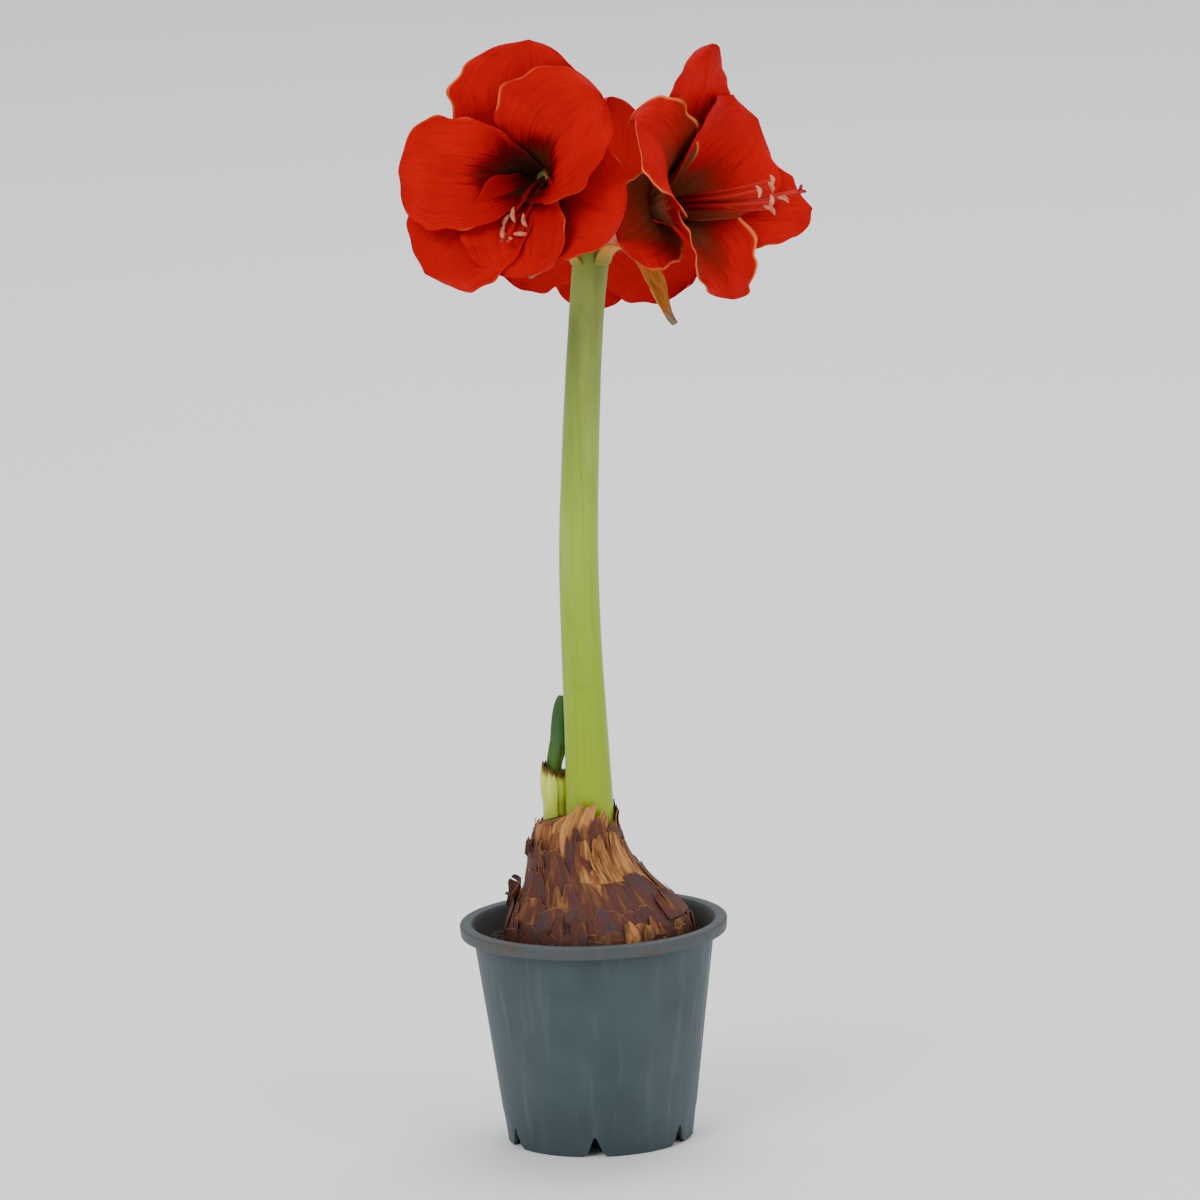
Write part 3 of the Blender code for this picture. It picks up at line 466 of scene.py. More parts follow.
# Bulb: tight fleshy scales inside dry brown tunic skins, which have split and torn in ragged layers
# from the neck down, paler where they are thin and almost purple where they are old and damp.
BULB_X = 3 * MM
BULB_PROFILE = [
    (18.5, 160.0), (20.2, 153.0), (22.0, 145.0), (24.0, 138.0), (27.4, 130.0), (32.4, 123.0),
    (38.8, 115.0), (43.0, 107.0), (44.0, 98.0), (41.5, 82.0), (31.0, 64.0), (17.0, 51.0),
]
INNER_SKIN_FOOT = 51
INNER_SKIN_HEIGHT = 108
NECK_TOP = 158 * MM
NECK_LEAN = -9.5 * MM
NECK_LEAN_FROM = 106 * MM
NECK_LEAN_OVER = 44 * MM
levels = np.arange(51, 160.01, 0.5)
waist = np.interp(levels, [z for _, z in BULB_PROFILE[::-1]], [r for r, _ in BULB_PROFILE[::-1]])
waist = np.convolve(np.pad(waist, 9, "edge"), np.ones(19) / 19, "valid")


def bulb_radius(height):
    """The bulb's plain radius at a height, or at an array of them, smooth through its profile."""
    return np.interp(height / MM, levels, waist) * MM


def neck_lean(height):
    """How far the bulb's centre stands from the pot's axis at a height, or at an array of them."""
    t = np.clip((height - NECK_LEAN_FROM) / NECK_LEAN_OVER, 0, 1)
    return BULB_X + NECK_LEAN * t * t * (3 - 2 * t)


def neck_pinch(height):
    """How far the skins draw in above the neck's top, away from the young shoot."""
    return np.clip(height - NECK_TOP, 0, 11 * MM) * 0.5


def blade(surface, rows, columns, thickness, crowd=1.0, **marks):
    """A closed thin sheet from surface(s, v), as points, faces, a map of (s, v), and its named marks.

    s runs from 0 at the foot to 1 at the tip and v from -1 to 1 across. The mark "back" is 1 on the
    sheet's far face.
    """
    along = (1 - (1 - np.linspace(0, 1, rows + 1)) ** crowd)[:, None]
    s, v = np.broadcast_arrays(along, np.linspace(-1, 1, columns + 1)[None, :])
    middle = surface(s, v)
    normal = np.cross(np.gradient(middle, axis=0), np.gradient(middle, axis=1))
    normal /= np.maximum(np.linalg.norm(normal, axis=2, keepdims=True), 1e-12)
    shift = normal * (thickness(s, v) / 2)[..., None]
    points = np.concatenate([(middle + shift).reshape(-1, 3), (middle - shift).reshape(-1, 3)])
    count = (rows + 1) * (columns + 1)
    number = np.arange(count).reshape(rows + 1, columns + 1)
    corners = number[:-1, :-1], number[1:, :-1], number[1:, 1:], number[:-1, 1:]
    near = np.stack(corners, axis=-1).reshape(-1, 4)
    ring = np.concatenate([number[:, 0], number[-1, 1:], number[-2::-1, -1], number[0, -2:0:-1]])
    following = np.roll(ring, -1)
    edge = np.stack([following, ring, ring + count, following + count], axis=-1)
    faces = np.concatenate([near, near[:, ::-1] + count, edge])
    chart = np.stack([s.ravel(), v.ravel() / 2 + 0.5], axis=-1)
    marks = {name: np.full(2 * count, value) for name, value in marks.items()}
    marks["back"] = np.repeat([0.0, 1.0], count)
    return {"points": points, "faces": faces, "chart": np.concatenate([chart, chart]), "marks": marks}


def join_blades(name, blades, material):
    """One mesh object of several blades, with their map and marks."""
    starts = np.cumsum([0] + [len(b["points"]) for b in blades])
    points = np.concatenate([b["points"] for b in blades])
    faces = np.concatenate([b["faces"] + start for b, start in zip(blades, starts)])
    obj = shape(name, points, faces=faces.tolist(), material=material)
    chart = np.concatenate([b["chart"] for b in blades])[faces.ravel()]
    obj.data.uv_layers.new(name="chart").data.foreach_set("uv", chart.astype(np.float32).ravel())
    for key in blades[0]["marks"]:
        values = np.concatenate([b["marks"][key] for b in blades]).astype(np.float32)
        obj.data.attributes.new(key, "FLOAT", "POINT").data.foreach_set("value", values)
    return obj


def tunic_skin(wire):
    """Dry papery skin: long veins, blotches, pale torn edges and patches that darken towards the soil."""
    where = wire.place()
    along, across = wire.chart()
    layer = wire.mark("layer")
    veins = wire.vector(across * 60, along * 3, layer * 40).grain(1, detail=3)
    blotch, fine = where.grain((120, 120, 42), detail=6), where.grain((900, 900, 260), detail=3)
    broad = wire.vector(across * 11, along * 1.6, layer * 17).grain(1, detail=4)
    tone = (layer * 0.56 + blotch * 1.1 + (broad - 0.5) * 1.3 - 0.36).clip(0.0, 1.0)
    colour = tone.node("ShaderNodeValToRGB", {0: tone}, stops=(
        (0.0, srgb(72, 50, 50)), (0.2, srgb(86, 38, 28)), (0.4, srgb(98, 56, 28)),
        (0.6, srgb(122, 74, 34)), (0.8, srgb(160, 104, 50)), (1.0, srgb(202, 140, 76)),
    ))
    colour = (veins.clip(0.48, 0.66) * 0.5).mix(colour, srgb(64, 30, 16))
    rusty = where.grain((120, 120, 80), detail=4).clip(0.6, 0.72) * 0.55
    colour = rusty.mix(colour, srgb(104, 22, 14))
    ragged = (along + (veins - 0.5) * 0.03).clip(0.975, 1.0) * blotch.clip(0.38, 0.6) * 0.45
    colour = ragged.mix(colour, srgb(176, 126, 72))
    # The skins darken in patches below 112 mm, towards the soil
    dark_near_soil = (0.112 - where.part("Z")).clip(0.0, 0.012) * fine.clip(0.25, 0.6) * 0.8
    colour = dark_near_soil.mix(colour, srgb(36, 20, 16))
    return colour, 0.42 + blotch * 0.3 + dark_near_soil * 0.1, veins * 0.7 + fine * 0.3, 0.0007


tunic_paint = paint("papery_tunic", tunic_skin, Specular_IOR_Level=0.3)
rows, steps = 64, 120
s, v = np.meshgrid(np.linspace(0, 1, rows), np.arange(steps) / steps, indexing="ij")
height = (INNER_SKIN_FOOT + INNER_SKIN_HEIGHT * s) * MM
angle = 2 * math.pi * v
radius = bulb_radius(np.minimum(height, NECK_TOP)) + 0.2 * MM
radius *= np.sqrt(np.clip((160 * MM - height) / (5 * MM), 0.2, 1))
ribs = np.sin(angle * 23 + 40 * s) * 0.15 + np.sin(angle * 9 + 2) * 0.35 + np.sin(angle * 4 + 9 * s) * 0.5
radius += ribs * MM
centre = neck_lean(height) + neck_pinch(height)
skin = np.stack([centre + radius * np.cos(angle), radius * np.sin(angle), height], axis=-1)
points = skin.reshape(-1, 3)
number = np.arange(rows * steps).reshape(rows, steps)
ahead = np.roll(number, -1, axis=1)
faces = np.stack([number[:-1], ahead[:-1], ahead[1:], number[1:]], axis=-1).reshape(-1, 4)
# A flat lid of strips closes the skin at each end
strip = np.arange(steps // 2 - 1)
lid = np.stack([strip, strip + 1, steps - 2 - strip, steps - 1 - strip], axis=-1)
faces = np.concatenate([faces, number[-1][lid], number[0][lid[:, ::-1]]])
body = {
    "points": points, "faces": faces, "chart": np.stack([s.ravel(), v.ravel() * 5], axis=-1),
    "marks": {"layer": np.full(len(points), 0.32), "back": np.zeros(len(points))},
}

# Layers of skin from the neck outwards: foot, edge, stand, the first skin's heading, five skins' tones
TUNIC_LAYERS = [
    (130, 168.0, 0.35, -160, (0.60, 0.92, 0.80, 0.45, 0.50)),
    (120, 159.0, 0.75, -125, (0.35, 0.50, 0.35, 0.30, 0.25)),
    (110, 149.5, 1.15, -123, (0.30, 1.00, 0.40, 0.30, 0.20)),
    (99, 137.0, 1.55, -100, (0.35, 0.15, 0.30, 0.45, 0.20)),
    (90, 125.0, 1.95, -167, (0.30, 0.00, 0.14, 0.40, 0.30)),
    (85, 115.0, 2.35, -128, (0.15, 0.45, 0.20, 0.35, 0.25)),
    (81, 105.5, 2.75, -92, (0.15, 0.20, 0.10, 0.30, 0.20)),
]
# Single skins that have peeled away: foot, edge, heading, half span, stand, curl, tone
PEELED_SKINS = [
    (104, 127, 172, 18, 3.2, 7.0, 0.10), (130, 157, 193, 20, 1.6, 2.2, 0.12),
    (106, 129, 60, 26, 3.0, 3.0, 0.30), (128, 147, 118, 24, 2.2, 3.0, 0.40),
    (104, 118, -113, 15, 3.4, 1.6, 0.10), (131, 147, -64, 13, 2.4, 1.2, 0.90),
    (112, 124, -18, 20, 3.2, 1.4, 0.20), (138, 152, -150, 17, 2.2, 1.2, 0.30),
    (96, 114, -60, 15, 3.4, 1.2, 0.98),
]


def tunic_sheet(foot, edge, heading, half_span, stand, curl, draw):
    """The surface of one torn skin, which hugs the bulb and lifts only along its ragged upper edge."""
    waves = [(draw.uniform(-1, 1), draw.uniform(2, 5) * k, draw.uniform(0, 6)) for k in (1, 2, 4, 9)]
    tears = [(draw.uniform(-0.9, 0.9), draw.uniform(0.03, 0.1), draw.uniform(2.0, 13.0)) for _ in range(4)]
    folds, slant = draw.uniform(5, 9), draw.uniform(-0.16, 0.16)
    heading, half_span = math.radians(heading), math.radians(half_span)

    def surface(s, v):
        phi = heading + half_span * v * (1 - 0.12 * s * s) + slant * s * 0.3
        ragged = sum(a * np.sin(f * v + p) * 2.2 / (1 + i) for i, (a, f, p) in enumerate(waves))
        ragged = ragged - 3.5 * np.abs(v) ** 6
        for place, width, depth in tears:
            ragged = ragged - depth * np.exp(-(np.abs(v - place) / width) ** 1.3)
        # Beside the young shoot the neck's skins end lower
        ragged = ragged - 8 * np.clip((edge - 148) / 10, 0, 1) * np.clip((-np.cos(phi) - 0.15) / 0.5, 0, 1)
        z = (foot + (edge - foot + np.maximum(ragged, 6 - edge + foot) + slant * 9 * v) * s) * MM
        lift = stand + curl * s ** 9 * (0.55 + 0.45 * np.sin(folds * v + 6 * slant))
        wrinkle = 0.11 * np.sin(folds * 4 * v + 3 * s) * s + 0.05 * np.sin(61 * v + 9 * s)
        pinch = neck_pinch(z)
        radius = bulb_radius(np.minimum(z, 160 * MM)) + (lift + wrinkle) * MM - pinch
        return np.stack([neck_lean(z) + pinch + radius * np.cos(phi), radius * np.sin(phi), z], axis=-1)

    return surface


def skin_thickness(s, v):
    return 0.0003 - 0.00012 * s + 0 * v


draw = random.Random(SEED)
skins = [body]
for foot, edge, stand, first, tones in TUNIC_LAYERS:
    for k, tone in enumerate(tones):
        sheet = tunic_sheet(
            foot, edge + draw.uniform(-5, 4), first + 72 * k + draw.uniform(-5, 5), draw.uniform(40, 45),
            stand + (0.0, 0.13, 0.0, 0.13, 0.07)[k], draw.uniform(0.4, 1.5), draw,
        )
        skins.append(blade(sheet, 20, 46, skin_thickness, crowd=1.5, layer=tone))
for foot, edge, heading, half_span, stand, curl, tone in PEELED_SKINS:
    sheet = tunic_sheet(foot, edge, heading, half_span, stand, curl, draw)
    skins.append(blade(sheet, 20, 26, skin_thickness, crowd=1.5, layer=tone))
settle(plain(join_blades("tunic_bulb", skins, tunic_paint)), "bulb", "bulb")

# Scape: the flower stem, a stout hollow stalk that grows straight out of the neck, bright yellow-green
# low down and duller towards the flowers, under a thin waxy bloom that rubs off.
SCAPE_POINTS = [
    (0.4, 140.0, 11.3), (0.2, 161.0, 11.6), (-0.2, 200.0, 10.6), (-1.1, 250.0, 9.8), (-0.8, 290.0, 9.5),
    (1.2, 330.0, 9.1), (4.3, 376.0, 8.6), (7.4, 410.0, 8.4), (9.8, 430.0, 8.6), (10.5, 437.0, 7.0),
]
UMBEL = Vector((10.3, 0.0, 432.0)) * MM
# Each tepal: direction, length, width, slope at its tip, lean, reach of the dark star, which on the
# right bloom is partly painted shade, and the strength of the painted highlight on its pale rim
BLOOMS = {
    "bloom_left": {
        "throat": (-10.5, -36.0, 475.0), "heading": -28.0, "rise": 10.0, "size": 1.0, "olive": 0.0,
        "tepals": [
            (86, 76, 71, 108, 0, 0.38, 0), (40, 81, 64, 110, 0, 0.4, 0), (345, 68, 60, 112, 0, 0.3, 0),
            (280, 62, 56, 106, 0, 0.3, 0), (227, 77, 60, 106, 0, 0.3, 0), (180, 76, 56, 98, 0, 0.4, 0.3),
        ],
    },
    # The right bloom's long star reaches and its olive setting are partly painted shade in its funnel
    "bloom_right": {
        "throat": (37.0, -22.0, 457.0), "heading": 57.0, "rise": 16.0, "size": 1.0, "olive": 1.0,
        "tepals": [
            (84, 86, 50, 92, -0.07, 0.44, 0.2), (30, 76, 60, 94, 0, 0.52, 0), (342, 85, 41, 80, 0, 0.5, 0.2),
            (261, 66, 55, 108, 0.1, 0.82, 0.7), (194, 53, 46, 142, 0, 1.0, 0.5),
            (138, 78, 52, 112, 0, 0.66, 0.7),
        ],
    },
    "bloom_back": {
        "throat": (11.0, 37.0, 446.0), "heading": 174.0, "rise": -3.0, "size": 0.92, "olive": 0.4,
        "tepals": [
            (98, 72, 58, 110, 0, 0.27, 0), (38, 70, 52, 96, 0, 0.27, 0), (338, 74, 58, 112, 0, 0.27, 0),
            (278, 70, 52, 98, 0, 0.27, 0), (218, 74, 58, 110, 0, 0.27, 0), (158, 70, 52, 96, 0, 0.27, 0),
        ],
    },
}
TUBE_LENGTH = 15 * MM
OVARY_LENGTH = 15 * MM


def smooth_points(points, count):
    """count rows along a Catmull-Rom curve through rows of numbers."""
    ends = [points[0], *points, points[-1]]
    made = []
    for i in range(count):
        place = i / (count - 1) * (len(points) - 1)
        k = min(int(place), len(points) - 2)
        t = place - k
        made.append([
            0.5 * (
                2 * b + (c - a) * t + (2 * a - 5 * b + 4 * c - d) * t * t
                + (3 * b - a - 3 * c + d) * t ** 3
            )
            for a, b, c, d in zip(*ends[k:k + 4])
        ])
    return made


def stalk_curves(name, paths):
    """One curve object of rows of (x, y, z, radius)."""
    curve = bpy.data.curves.new(name, "CURVE")
    curve.dimensions = "3D"
    for path in paths:
        spline = curve.splines.new("POLY")
        spline.points.add(len(path) - 1)
        for target, (x, y, z, radius) in zip(spline.points, path):
            target.co = (x, y, z, 1)
            target.radius = radius
    obj = bpy.data.objects.new(name, curve)
    bpy.context.scene.collection.objects.link(obj)
    return obj


def green_stem(wire):
    where = wire.place()
    height = where.part("Z")
    lines, cloud = where.grain((700, 700, 10), detail=2), where.grain((50, 50, 14), detail=4)
    fine = where.grain((1400, 1400, 300), detail=2)
    tall = height.clip(0.155, 0.44)
    colour = tall.node("ShaderNodeValToRGB", {0: tall}, stops=(
        (0.0, srgb(146, 168, 14)), (0.18, srgb(138, 172, 16)), (0.5, srgb(148, 178, 44)),
        (0.8, srgb(132, 150, 56)), (1.0, srgb(112, 124, 50)),
    ))
    colour = (lines.clip(0.45, 0.75) * 0.32).mix(colour, srgb(102, 136, 22))
    waxy = cloud.clip(0.48, 0.72) * 0.42 * height.clip(0.18, 0.3)
    colour = waxy.mix(colour, srgb(172, 196, 92))
    bruise = where.grain((34, 34, 26), detail=5).clip(0.64, 0.76) * 0.4
    colour = bruise.mix(colour, srgb(112, 92, 36))
    return colour, 0.36 + waxy * 0.5 + fine * 0.08, lines * 0.75 + fine * 0.25, 0.00022


stem_paint = paint("waxy_green_stem", green_stem, Specular_IOR_Level=0.3)


def round_rod(curve, sides):
    """A curve as a rod of its own radii, with the mark "along" from 0 at its start to 1 at its end."""
    marked = curve.node("GeometryNodeStoreNamedAttribute", {
        "Geometry": curve, "Name": "along", "Value": curve.node("GeometryNodeSplineParameter"),
    }, data_type="FLOAT", domain="POINT")
    return curve.node("GeometryNodeCurveToMesh", {
        "Curve": marked, "Scale": curve.node("GeometryNodeInputRadius"), "Fill Caps": True,
        "Profile Curve": curve.node("GeometryNodeCurvePrimitiveCircle", {"Resolution": sides, "Radius": 1.0}),
    })


stalk_tree, given = new_tree("stalk", Sides="Int", Unevenness="Float", Paint="Material")
wire = Wire(stalk_tree)
ripple = wire.node("GeometryNodeInputPosition").grain((150, 150, 7), detail=2) - 0.5
swelling = wire.node("ShaderNodeVectorMath", {
    0: wire.node("GeometryNodeInputNormal"), "Scale": ripple * given["Unevenness"],
}, operation="SCALE")
stalk = wire.node("GeometryNodeSetPosition", {
    "Geometry": round_rod(given["Geometry"], given["Sides"]), "Offset": swelling,
})
end_tree(stalk.realized().painted(given["Paint"]))


def bloom_frame(spec):
    """The matrix from a bloom's own frame, with Z along its axis and Y up, to the plant's."""
    heading, rise = math.radians(spec["heading"]), math.radians(spec["rise"])
    level = math.cos(rise)
    axis = Vector((math.sin(heading) * level, -math.cos(heading) * level, math.sin(rise)))
    up = (Vector((0, 0, 1)) - axis * axis.z).normalized()
    turn = Matrix((up.cross(axis), up, axis)).transposed().to_4x4()
    return Matrix.Translation(Vector(spec["throat"]) * MM) @ turn @ Matrix.Scale(spec["size"], 4)


stem_path = smooth_points([(x * MM, 0.0, z * MM, r * MM) for x, z, r in SCAPE_POINTS], 90)
paths = [stem_path]
for spec in BLOOMS.values():
    place = bloom_frame(spec)
    axis = (place.to_3x3() @ Vector((0, 0, 1))).normalized()
    head = place.translation - axis * TUBE_LENGTH
    foot = head - axis * OVARY_LENGTH
    arch = UMBEL + (foot - UMBEL) * 0.35 + Vector((0, 0, 2.5 * MM))
    way = [(UMBEL - Vector((0, 0, 5 * MM)), 4.4 * MM), (arch, 4.1 * MM), (foot - axis * 5 * MM, 3.9 * MM)]
    stations = [(*spot, r) for spot, r in way]
    swell = [(-1.5, 4.1), (1.5, 4.9), (5.0, 5.6), (9.0, 5.6), (12.5, 4.9), (15.5, 4.2)]
    stations += [(*(foot + axis * t * MM), r * MM) for t, r in swell]
    paths.append(smooth_points(stations, 46))
scape = stalk_curves("flower_stem", paths)
add_tree(scape, stalk_tree, Sides=48, Unevenness=0.7 * MM, Paint=stem_paint)
settle(plain(scape), "scape", "scape")

# Young leaf: the first strap leaf beside the stem, still short, dark and rounded at its tip, in a pale
# swollen leaf base whose upper edge has dried brown.
SHOOT_PLACE = np.array((-16.4, 8.8, 0.0)) * MM
SHOOT_BASE = 141 * MM
SHEATH_RADIUS = 6.2 * MM
SHEATH_TOP = 184 * MM
LEAF_TOP = 217 * MM


def pale_sheath(wire):
    where = wire.place()
    along, _ = wire.chart()
    lines, fine = where.grain((800, 800, 16), detail=2), where.grain((900, 900, 300), detail=3)
    colour = along.clip(0.35, 0.85).mix(srgb(192, 204, 66), srgb(214, 226, 88))
    colour = (lines.clip(0.45, 0.7) * 0.4).mix(colour, srgb(134, 156, 34))
    dried = (along + fine * 0.16 - 0.08).clip(0.86, 0.97)
    colour = dried.mix(colour, fine.clip(0.35, 0.65).mix(srgb(48, 24, 8), srgb(112, 72, 24)))
    return colour, 0.42 + dried * 0.3, lines * 0.7 + fine * 0.3, 0.0003


def dark_leaf(wire):
    where = wire.place()
    lines, cloud = where.grain((900, 900, 12), detail=2), where.grain((60, 60, 30), detail=3)
    colour = where.part("Z").clip(0.178, 0.205).mix(srgb(78, 108, 34), srgb(48, 86, 38))
    colour = (lines.clip(0.45, 0.7) * 0.45).mix(colour, srgb(22, 50, 16))
    colour = (cloud.clip(0.5, 0.8) * 0.4).mix(colour, srgb(70, 102, 48))
    return colour, 0.34 + cloud * 0.16, lines, 0.0002


def sheath_surface(s, v):
    """The leaf base as a wrapped sheet whose two edges overlap at the back."""
    turn = math.pi * 1.06 * v + math.pi / 2
    z = SHOOT_BASE + (SHEATH_TOP - SHOOT_BASE) * s
    swell = 1.2 * MM * np.sin(math.pi * np.clip((z - 164 * MM) / (20 * MM), 0, 1))
    radius = SHEATH_RADIUS - 0.6 * MM + swell + 0.5 * MM * v - 0.3 * MM * s
    x, y = radius * np.cos(turn), radius * np.sin(turn)
    share = np.clip((z - SHOOT_BASE - 20 * MM) / (SHEATH_TOP - SHOOT_BASE - 20 * MM), 0, 1)
    torn = 0.6 * np.sin(7 * turn) + 0.5 * np.sin(17 * turn + 1) + 0.35 * np.sin(41 * turn)
    z = z - share * (2.5 * MM + x * 0.45 + 0.8 * MM * np.sin(y * 900)) - share ** 3 * torn * MM
    return np.stack([x, y, z], axis=-1) + SHOOT_PLACE


def leaf_surface(s, v):
    low = SHOOT_BASE + 2.3 * MM
    z = low + (LEAF_TOP - low) * s
    free = np.clip((z - 183 * MM) / (12 * MM), 0, 1)
    half = (3.2 * MM + 1.3 * MM * free) * np.sqrt(np.clip(1 - s ** 9, 0, 1)) + 0.4 * MM
    fold = 1.5 * MM * np.abs(v) ** 1.6
    return np.stack([4.8 * MM * free * s + half * v, fold - 0.8 * MM, z], axis=-1) + SHOOT_PLACE


sheath_paint = paint("pale_leaf_base", pale_sheath, Specular_IOR_Level=0.3)
leaf_paint = paint("strap_leaf", dark_leaf, Specular_IOR_Level=0.35)
sheath = blade(sheath_surface, 60, 72, lambda s, v: 0.0010 - 0.0004 * s + 0 * v)
leaf = blade(leaf_surface, 70, 20, lambda s, v: 0.0021 - 0.0013 * v * v, crowd=1.3)
settle(plain(join_blades("leaf_base", [sheath], sheath_paint)), "sheath", "leaf_sheath")
settle(plain(join_blades("strap_leaf", [leaf], leaf_paint)), "leaf", "young_leaf")

# Spathe bracts: the two halves of the bud's sheath, now withered to crumpled ochre paper that hangs
# from the top of the stem.
SPATHES = {
    "spathe_bract_right": {"heading": 50.0, "length": 62 * MM, "width": 20 * MM, "end": 146.0},
    "spathe_bract_left": {"heading": -64.0, "length": 28 * MM, "width": 17 * MM, "end": 118.0},
}
SPATHE_FOOT = np.array((9.9, 0, 429)) * MM
SPATHE_STAND = 9.65 * MM


def withered(wire):
    where = wire.place()
    along, across = wire.chart()
    veins = wire.vector(across * 26, along * 2).grain(1, detail=2)
    blotch = where.grain((160, 160, 110), detail=4)
    colour = blotch.clip(0.3, 0.7).mix(srgb(202, 122, 30), srgb(188, 142, 58))
    colour = (veins.clip(0.48, 0.7) * 0.5).mix(colour, srgb(132, 68, 16))
    colour = (0.2 - along).clip(0.0, 0.2).mix(colour, srgb(140, 130, 40))
    colour = along.clip(0.82, 0.98).mix(colour, srgb(124, 108, 84))
    return colour, 0.5 + blotch * 0.25, veins * 0.8 + blotch * 0.2, 0.0005


def spathe_surface(spec):
    heading = math.radians(spec["heading"])
    out = np.array((math.sin(heading), -math.cos(heading), 0))
    side = np.array((math.cos(heading), math.sin(heading), 0))
    rise = np.array((0.0, 0.0, 1.0))
    foot = SPATHE_FOOT + out * SPATHE_STAND

    def surface(s, v):
        fine = np.linspace(0, 1, 241)
        slope = np.radians(8 + (spec["end"] - 8) * np.minimum(1, fine * 2.2) ** 0.8)
        out_way = np.concatenate([[0], np.cumsum(np.sin(slope[:-1]))]) * spec["length"] / 240
        up_way = np.concatenate([[0], np.cumsum(np.cos(slope[:-1]))]) * spec["length"] / 240
        tilt = np.interp(s, fine, slope)
        inward = -out * np.cos(tilt)[..., None] + rise * np.sin(tilt)[..., None]
        half = spec["width"] / 2 * (0.62 + 0.6 * s) * np.clip(1 - s ** 2.2, 0, 1) + 0.7 * MM
        half = half * (1 + 0.05 * np.sin(19 * s + 2 * v))
        bend = 8.6 * MM + 8 * MM * s
        turn = v * half / bend
        crumple = 1.1 * np.sin(9 * s + 4 * v) + 0.45 * np.sin(23 * s - 9 * v) + 0.3 * np.sin(14 * v + 31 * s)
        rise_in = bend * (1 - np.cos(turn)) + s * crumple * MM
        return (
            foot + out * np.interp(s, fine, out_way)[..., None] + rise * np.interp(s, fine, up_way)[..., None]
            + side * (bend * np.sin(turn))[..., None] + inward * rise_in[..., None]
        )

    return surface


spathe_paint = paint("withered_spathe", withered, Specular_IOR_Level=0.3)
for node, spec in SPATHES.items():
    sheet = blade(spathe_surface(spec), 60, 30, lambda s, v: 0.0006 - 0.0003 * s + 0 * v)
    bract = join_blades(node.replace("spathe_", "withered_"), [sheet], spathe_paint)
    settle(plain(bract), "spathe", node)

# Blooms: each has six velvety tepals on a short green tube, three outer ones laid under three inner
# ones, deep red with a dark star in the throat, fine long veins and pale ruffled edges. The red is
# painted darker towards the throat as painted shade, the pale edges carry a painted highlight, and on
# the right bloom the wide brown star is partly its marking and partly painted shade in the funnel.
TUBE_RADIUS = 5.0 * MM
TEPAL_WIDEST = 0.6
TEPAL_SCALE = 0.98
OUTER_TEPAL = {"start": 26.0, "lift": 0.0, "tip": 0.62, "wave": 2.2 * MM, "flat": 2.4, "fall": 3.5 * MM}
INNER_TEPAL = {"start": 16.0, "lift": 1.2 * MM, "tip": 0.5, "wave": 2.8 * MM, "flat": 1.2, "fall": 1.0 * MM}


def velvet(wire):
    where = wire.place()
    along, across = wire.chart()
    from_rib = (across - 0.5).math("ABSOLUTE") * 2
    back = wire.mark("back")
    tone = wire.mark("tone")
    star_reach = wire.mark("star_reach")
    olive = wire.mark("olive")
    streaks = wire.vector(across * 46, along * 2.2, tone * 30)
    veins = streaks.grain(1, detail=4, roughness=0.6)
    cloud, cells = where.grain(42, detail=3), where.grain(2200, detail=1)
    red = cloud.clip(0.3, 0.72).mix(srgb(180, 0, 3), srgb(204, 1, 8))
    red = (tone * 0.45).mix(red, srgb(168, 0, 2))
    red = (veins.clip(0.48, 0.75) * 0.5).mix(red, srgb(142, 0, 3))
    # Painted shade: the red darkens towards the throat, deep in the funnel
    red = ((0.62 - along).clip(0.0, 0.5) * 0.6).mix(red, srgb(138, 0, 3))
    # The star: maroon along each midrib, and a throat that goes from brown to dark green. Where olive
    # is set the star is browner and reaches further up one side: partly its marking, partly painted
    # shade in the bloom's funnel
    reach = star_reach + (1 - from_rib).clip(0.3, 1.0) * 0.2 + (veins - 0.5) * 0.36
    reach = reach - olive * (across - 0.5) * 0.5
    star = (reach - along).clip(0.0, 0.16 + olive * 0.22)
    inner = (star * 0.9).mix(red, olive.mix(srgb(78, 6, 8), srgb(112, 26, 14)))
    deep = (reach * 0.66 - along).clip(0.0, 0.12 + olive * 0.1)
    throat = cloud.clip(0.4, 0.6).mix(srgb(38, 34, 20), srgb(64, 38, 20))
    inner = deep.mix(inner, olive.mix(throat, srgb(104, 50, 28)))
    rib = (0.07 - from_rib).clip(0.0, 0.06) * (0.78 - along).clip(0.0, 0.3) * 0.4
    inner = rib.mix(inner, srgb(96, 26, 12))
    # The back: duller, with a green and cream foot that runs up the midrib
    outer = (0.35 + cloud * 0.3).mix(red, srgb(158, 14, 6))
    foot = (0.34 - along + (1 - from_rib) * 0.16 + (veins - 0.5) * 0.2).clip(0.0, 0.26) * 0.8
    outer = foot.mix(outer, srgb(210, 136, 98))
    outer = (0.12 - along).clip(0.0, 0.1).mix(outer, srgb(140, 146, 70))
    colour = back.mix(inner, outer)
    # Painted highlight: a pale orange line along the tepals' edges where they catch the light, stronger on
    # tepals with a higher rim
    rim = wire.mark("rim")
    pale = (from_rib + (veins - 0.5) * 0.1 + rim * 0.05).clip(0.96, 1.0) * along.clip(0.25, 0.5)
    pale = pale * (where.grain(26, detail=3) + rim * 0.2).clip(0.5, 0.68) * 0.75
    colour = pale.mix(colour, srgb(246, 128, 66))
    return colour, 0.5 + veins * 0.14 - star * 0.06, veins * 0.8 + cells * 0.2, 0.0006


petal_paint = paint(
    "velvet_petal", velvet, Specular_IOR_Level=0.06, Sheen_Weight=0.06, Sheen_Roughness=0.4,
    Sheen_Tint=(1.0, 0.05, 0.05, 1.0),
)


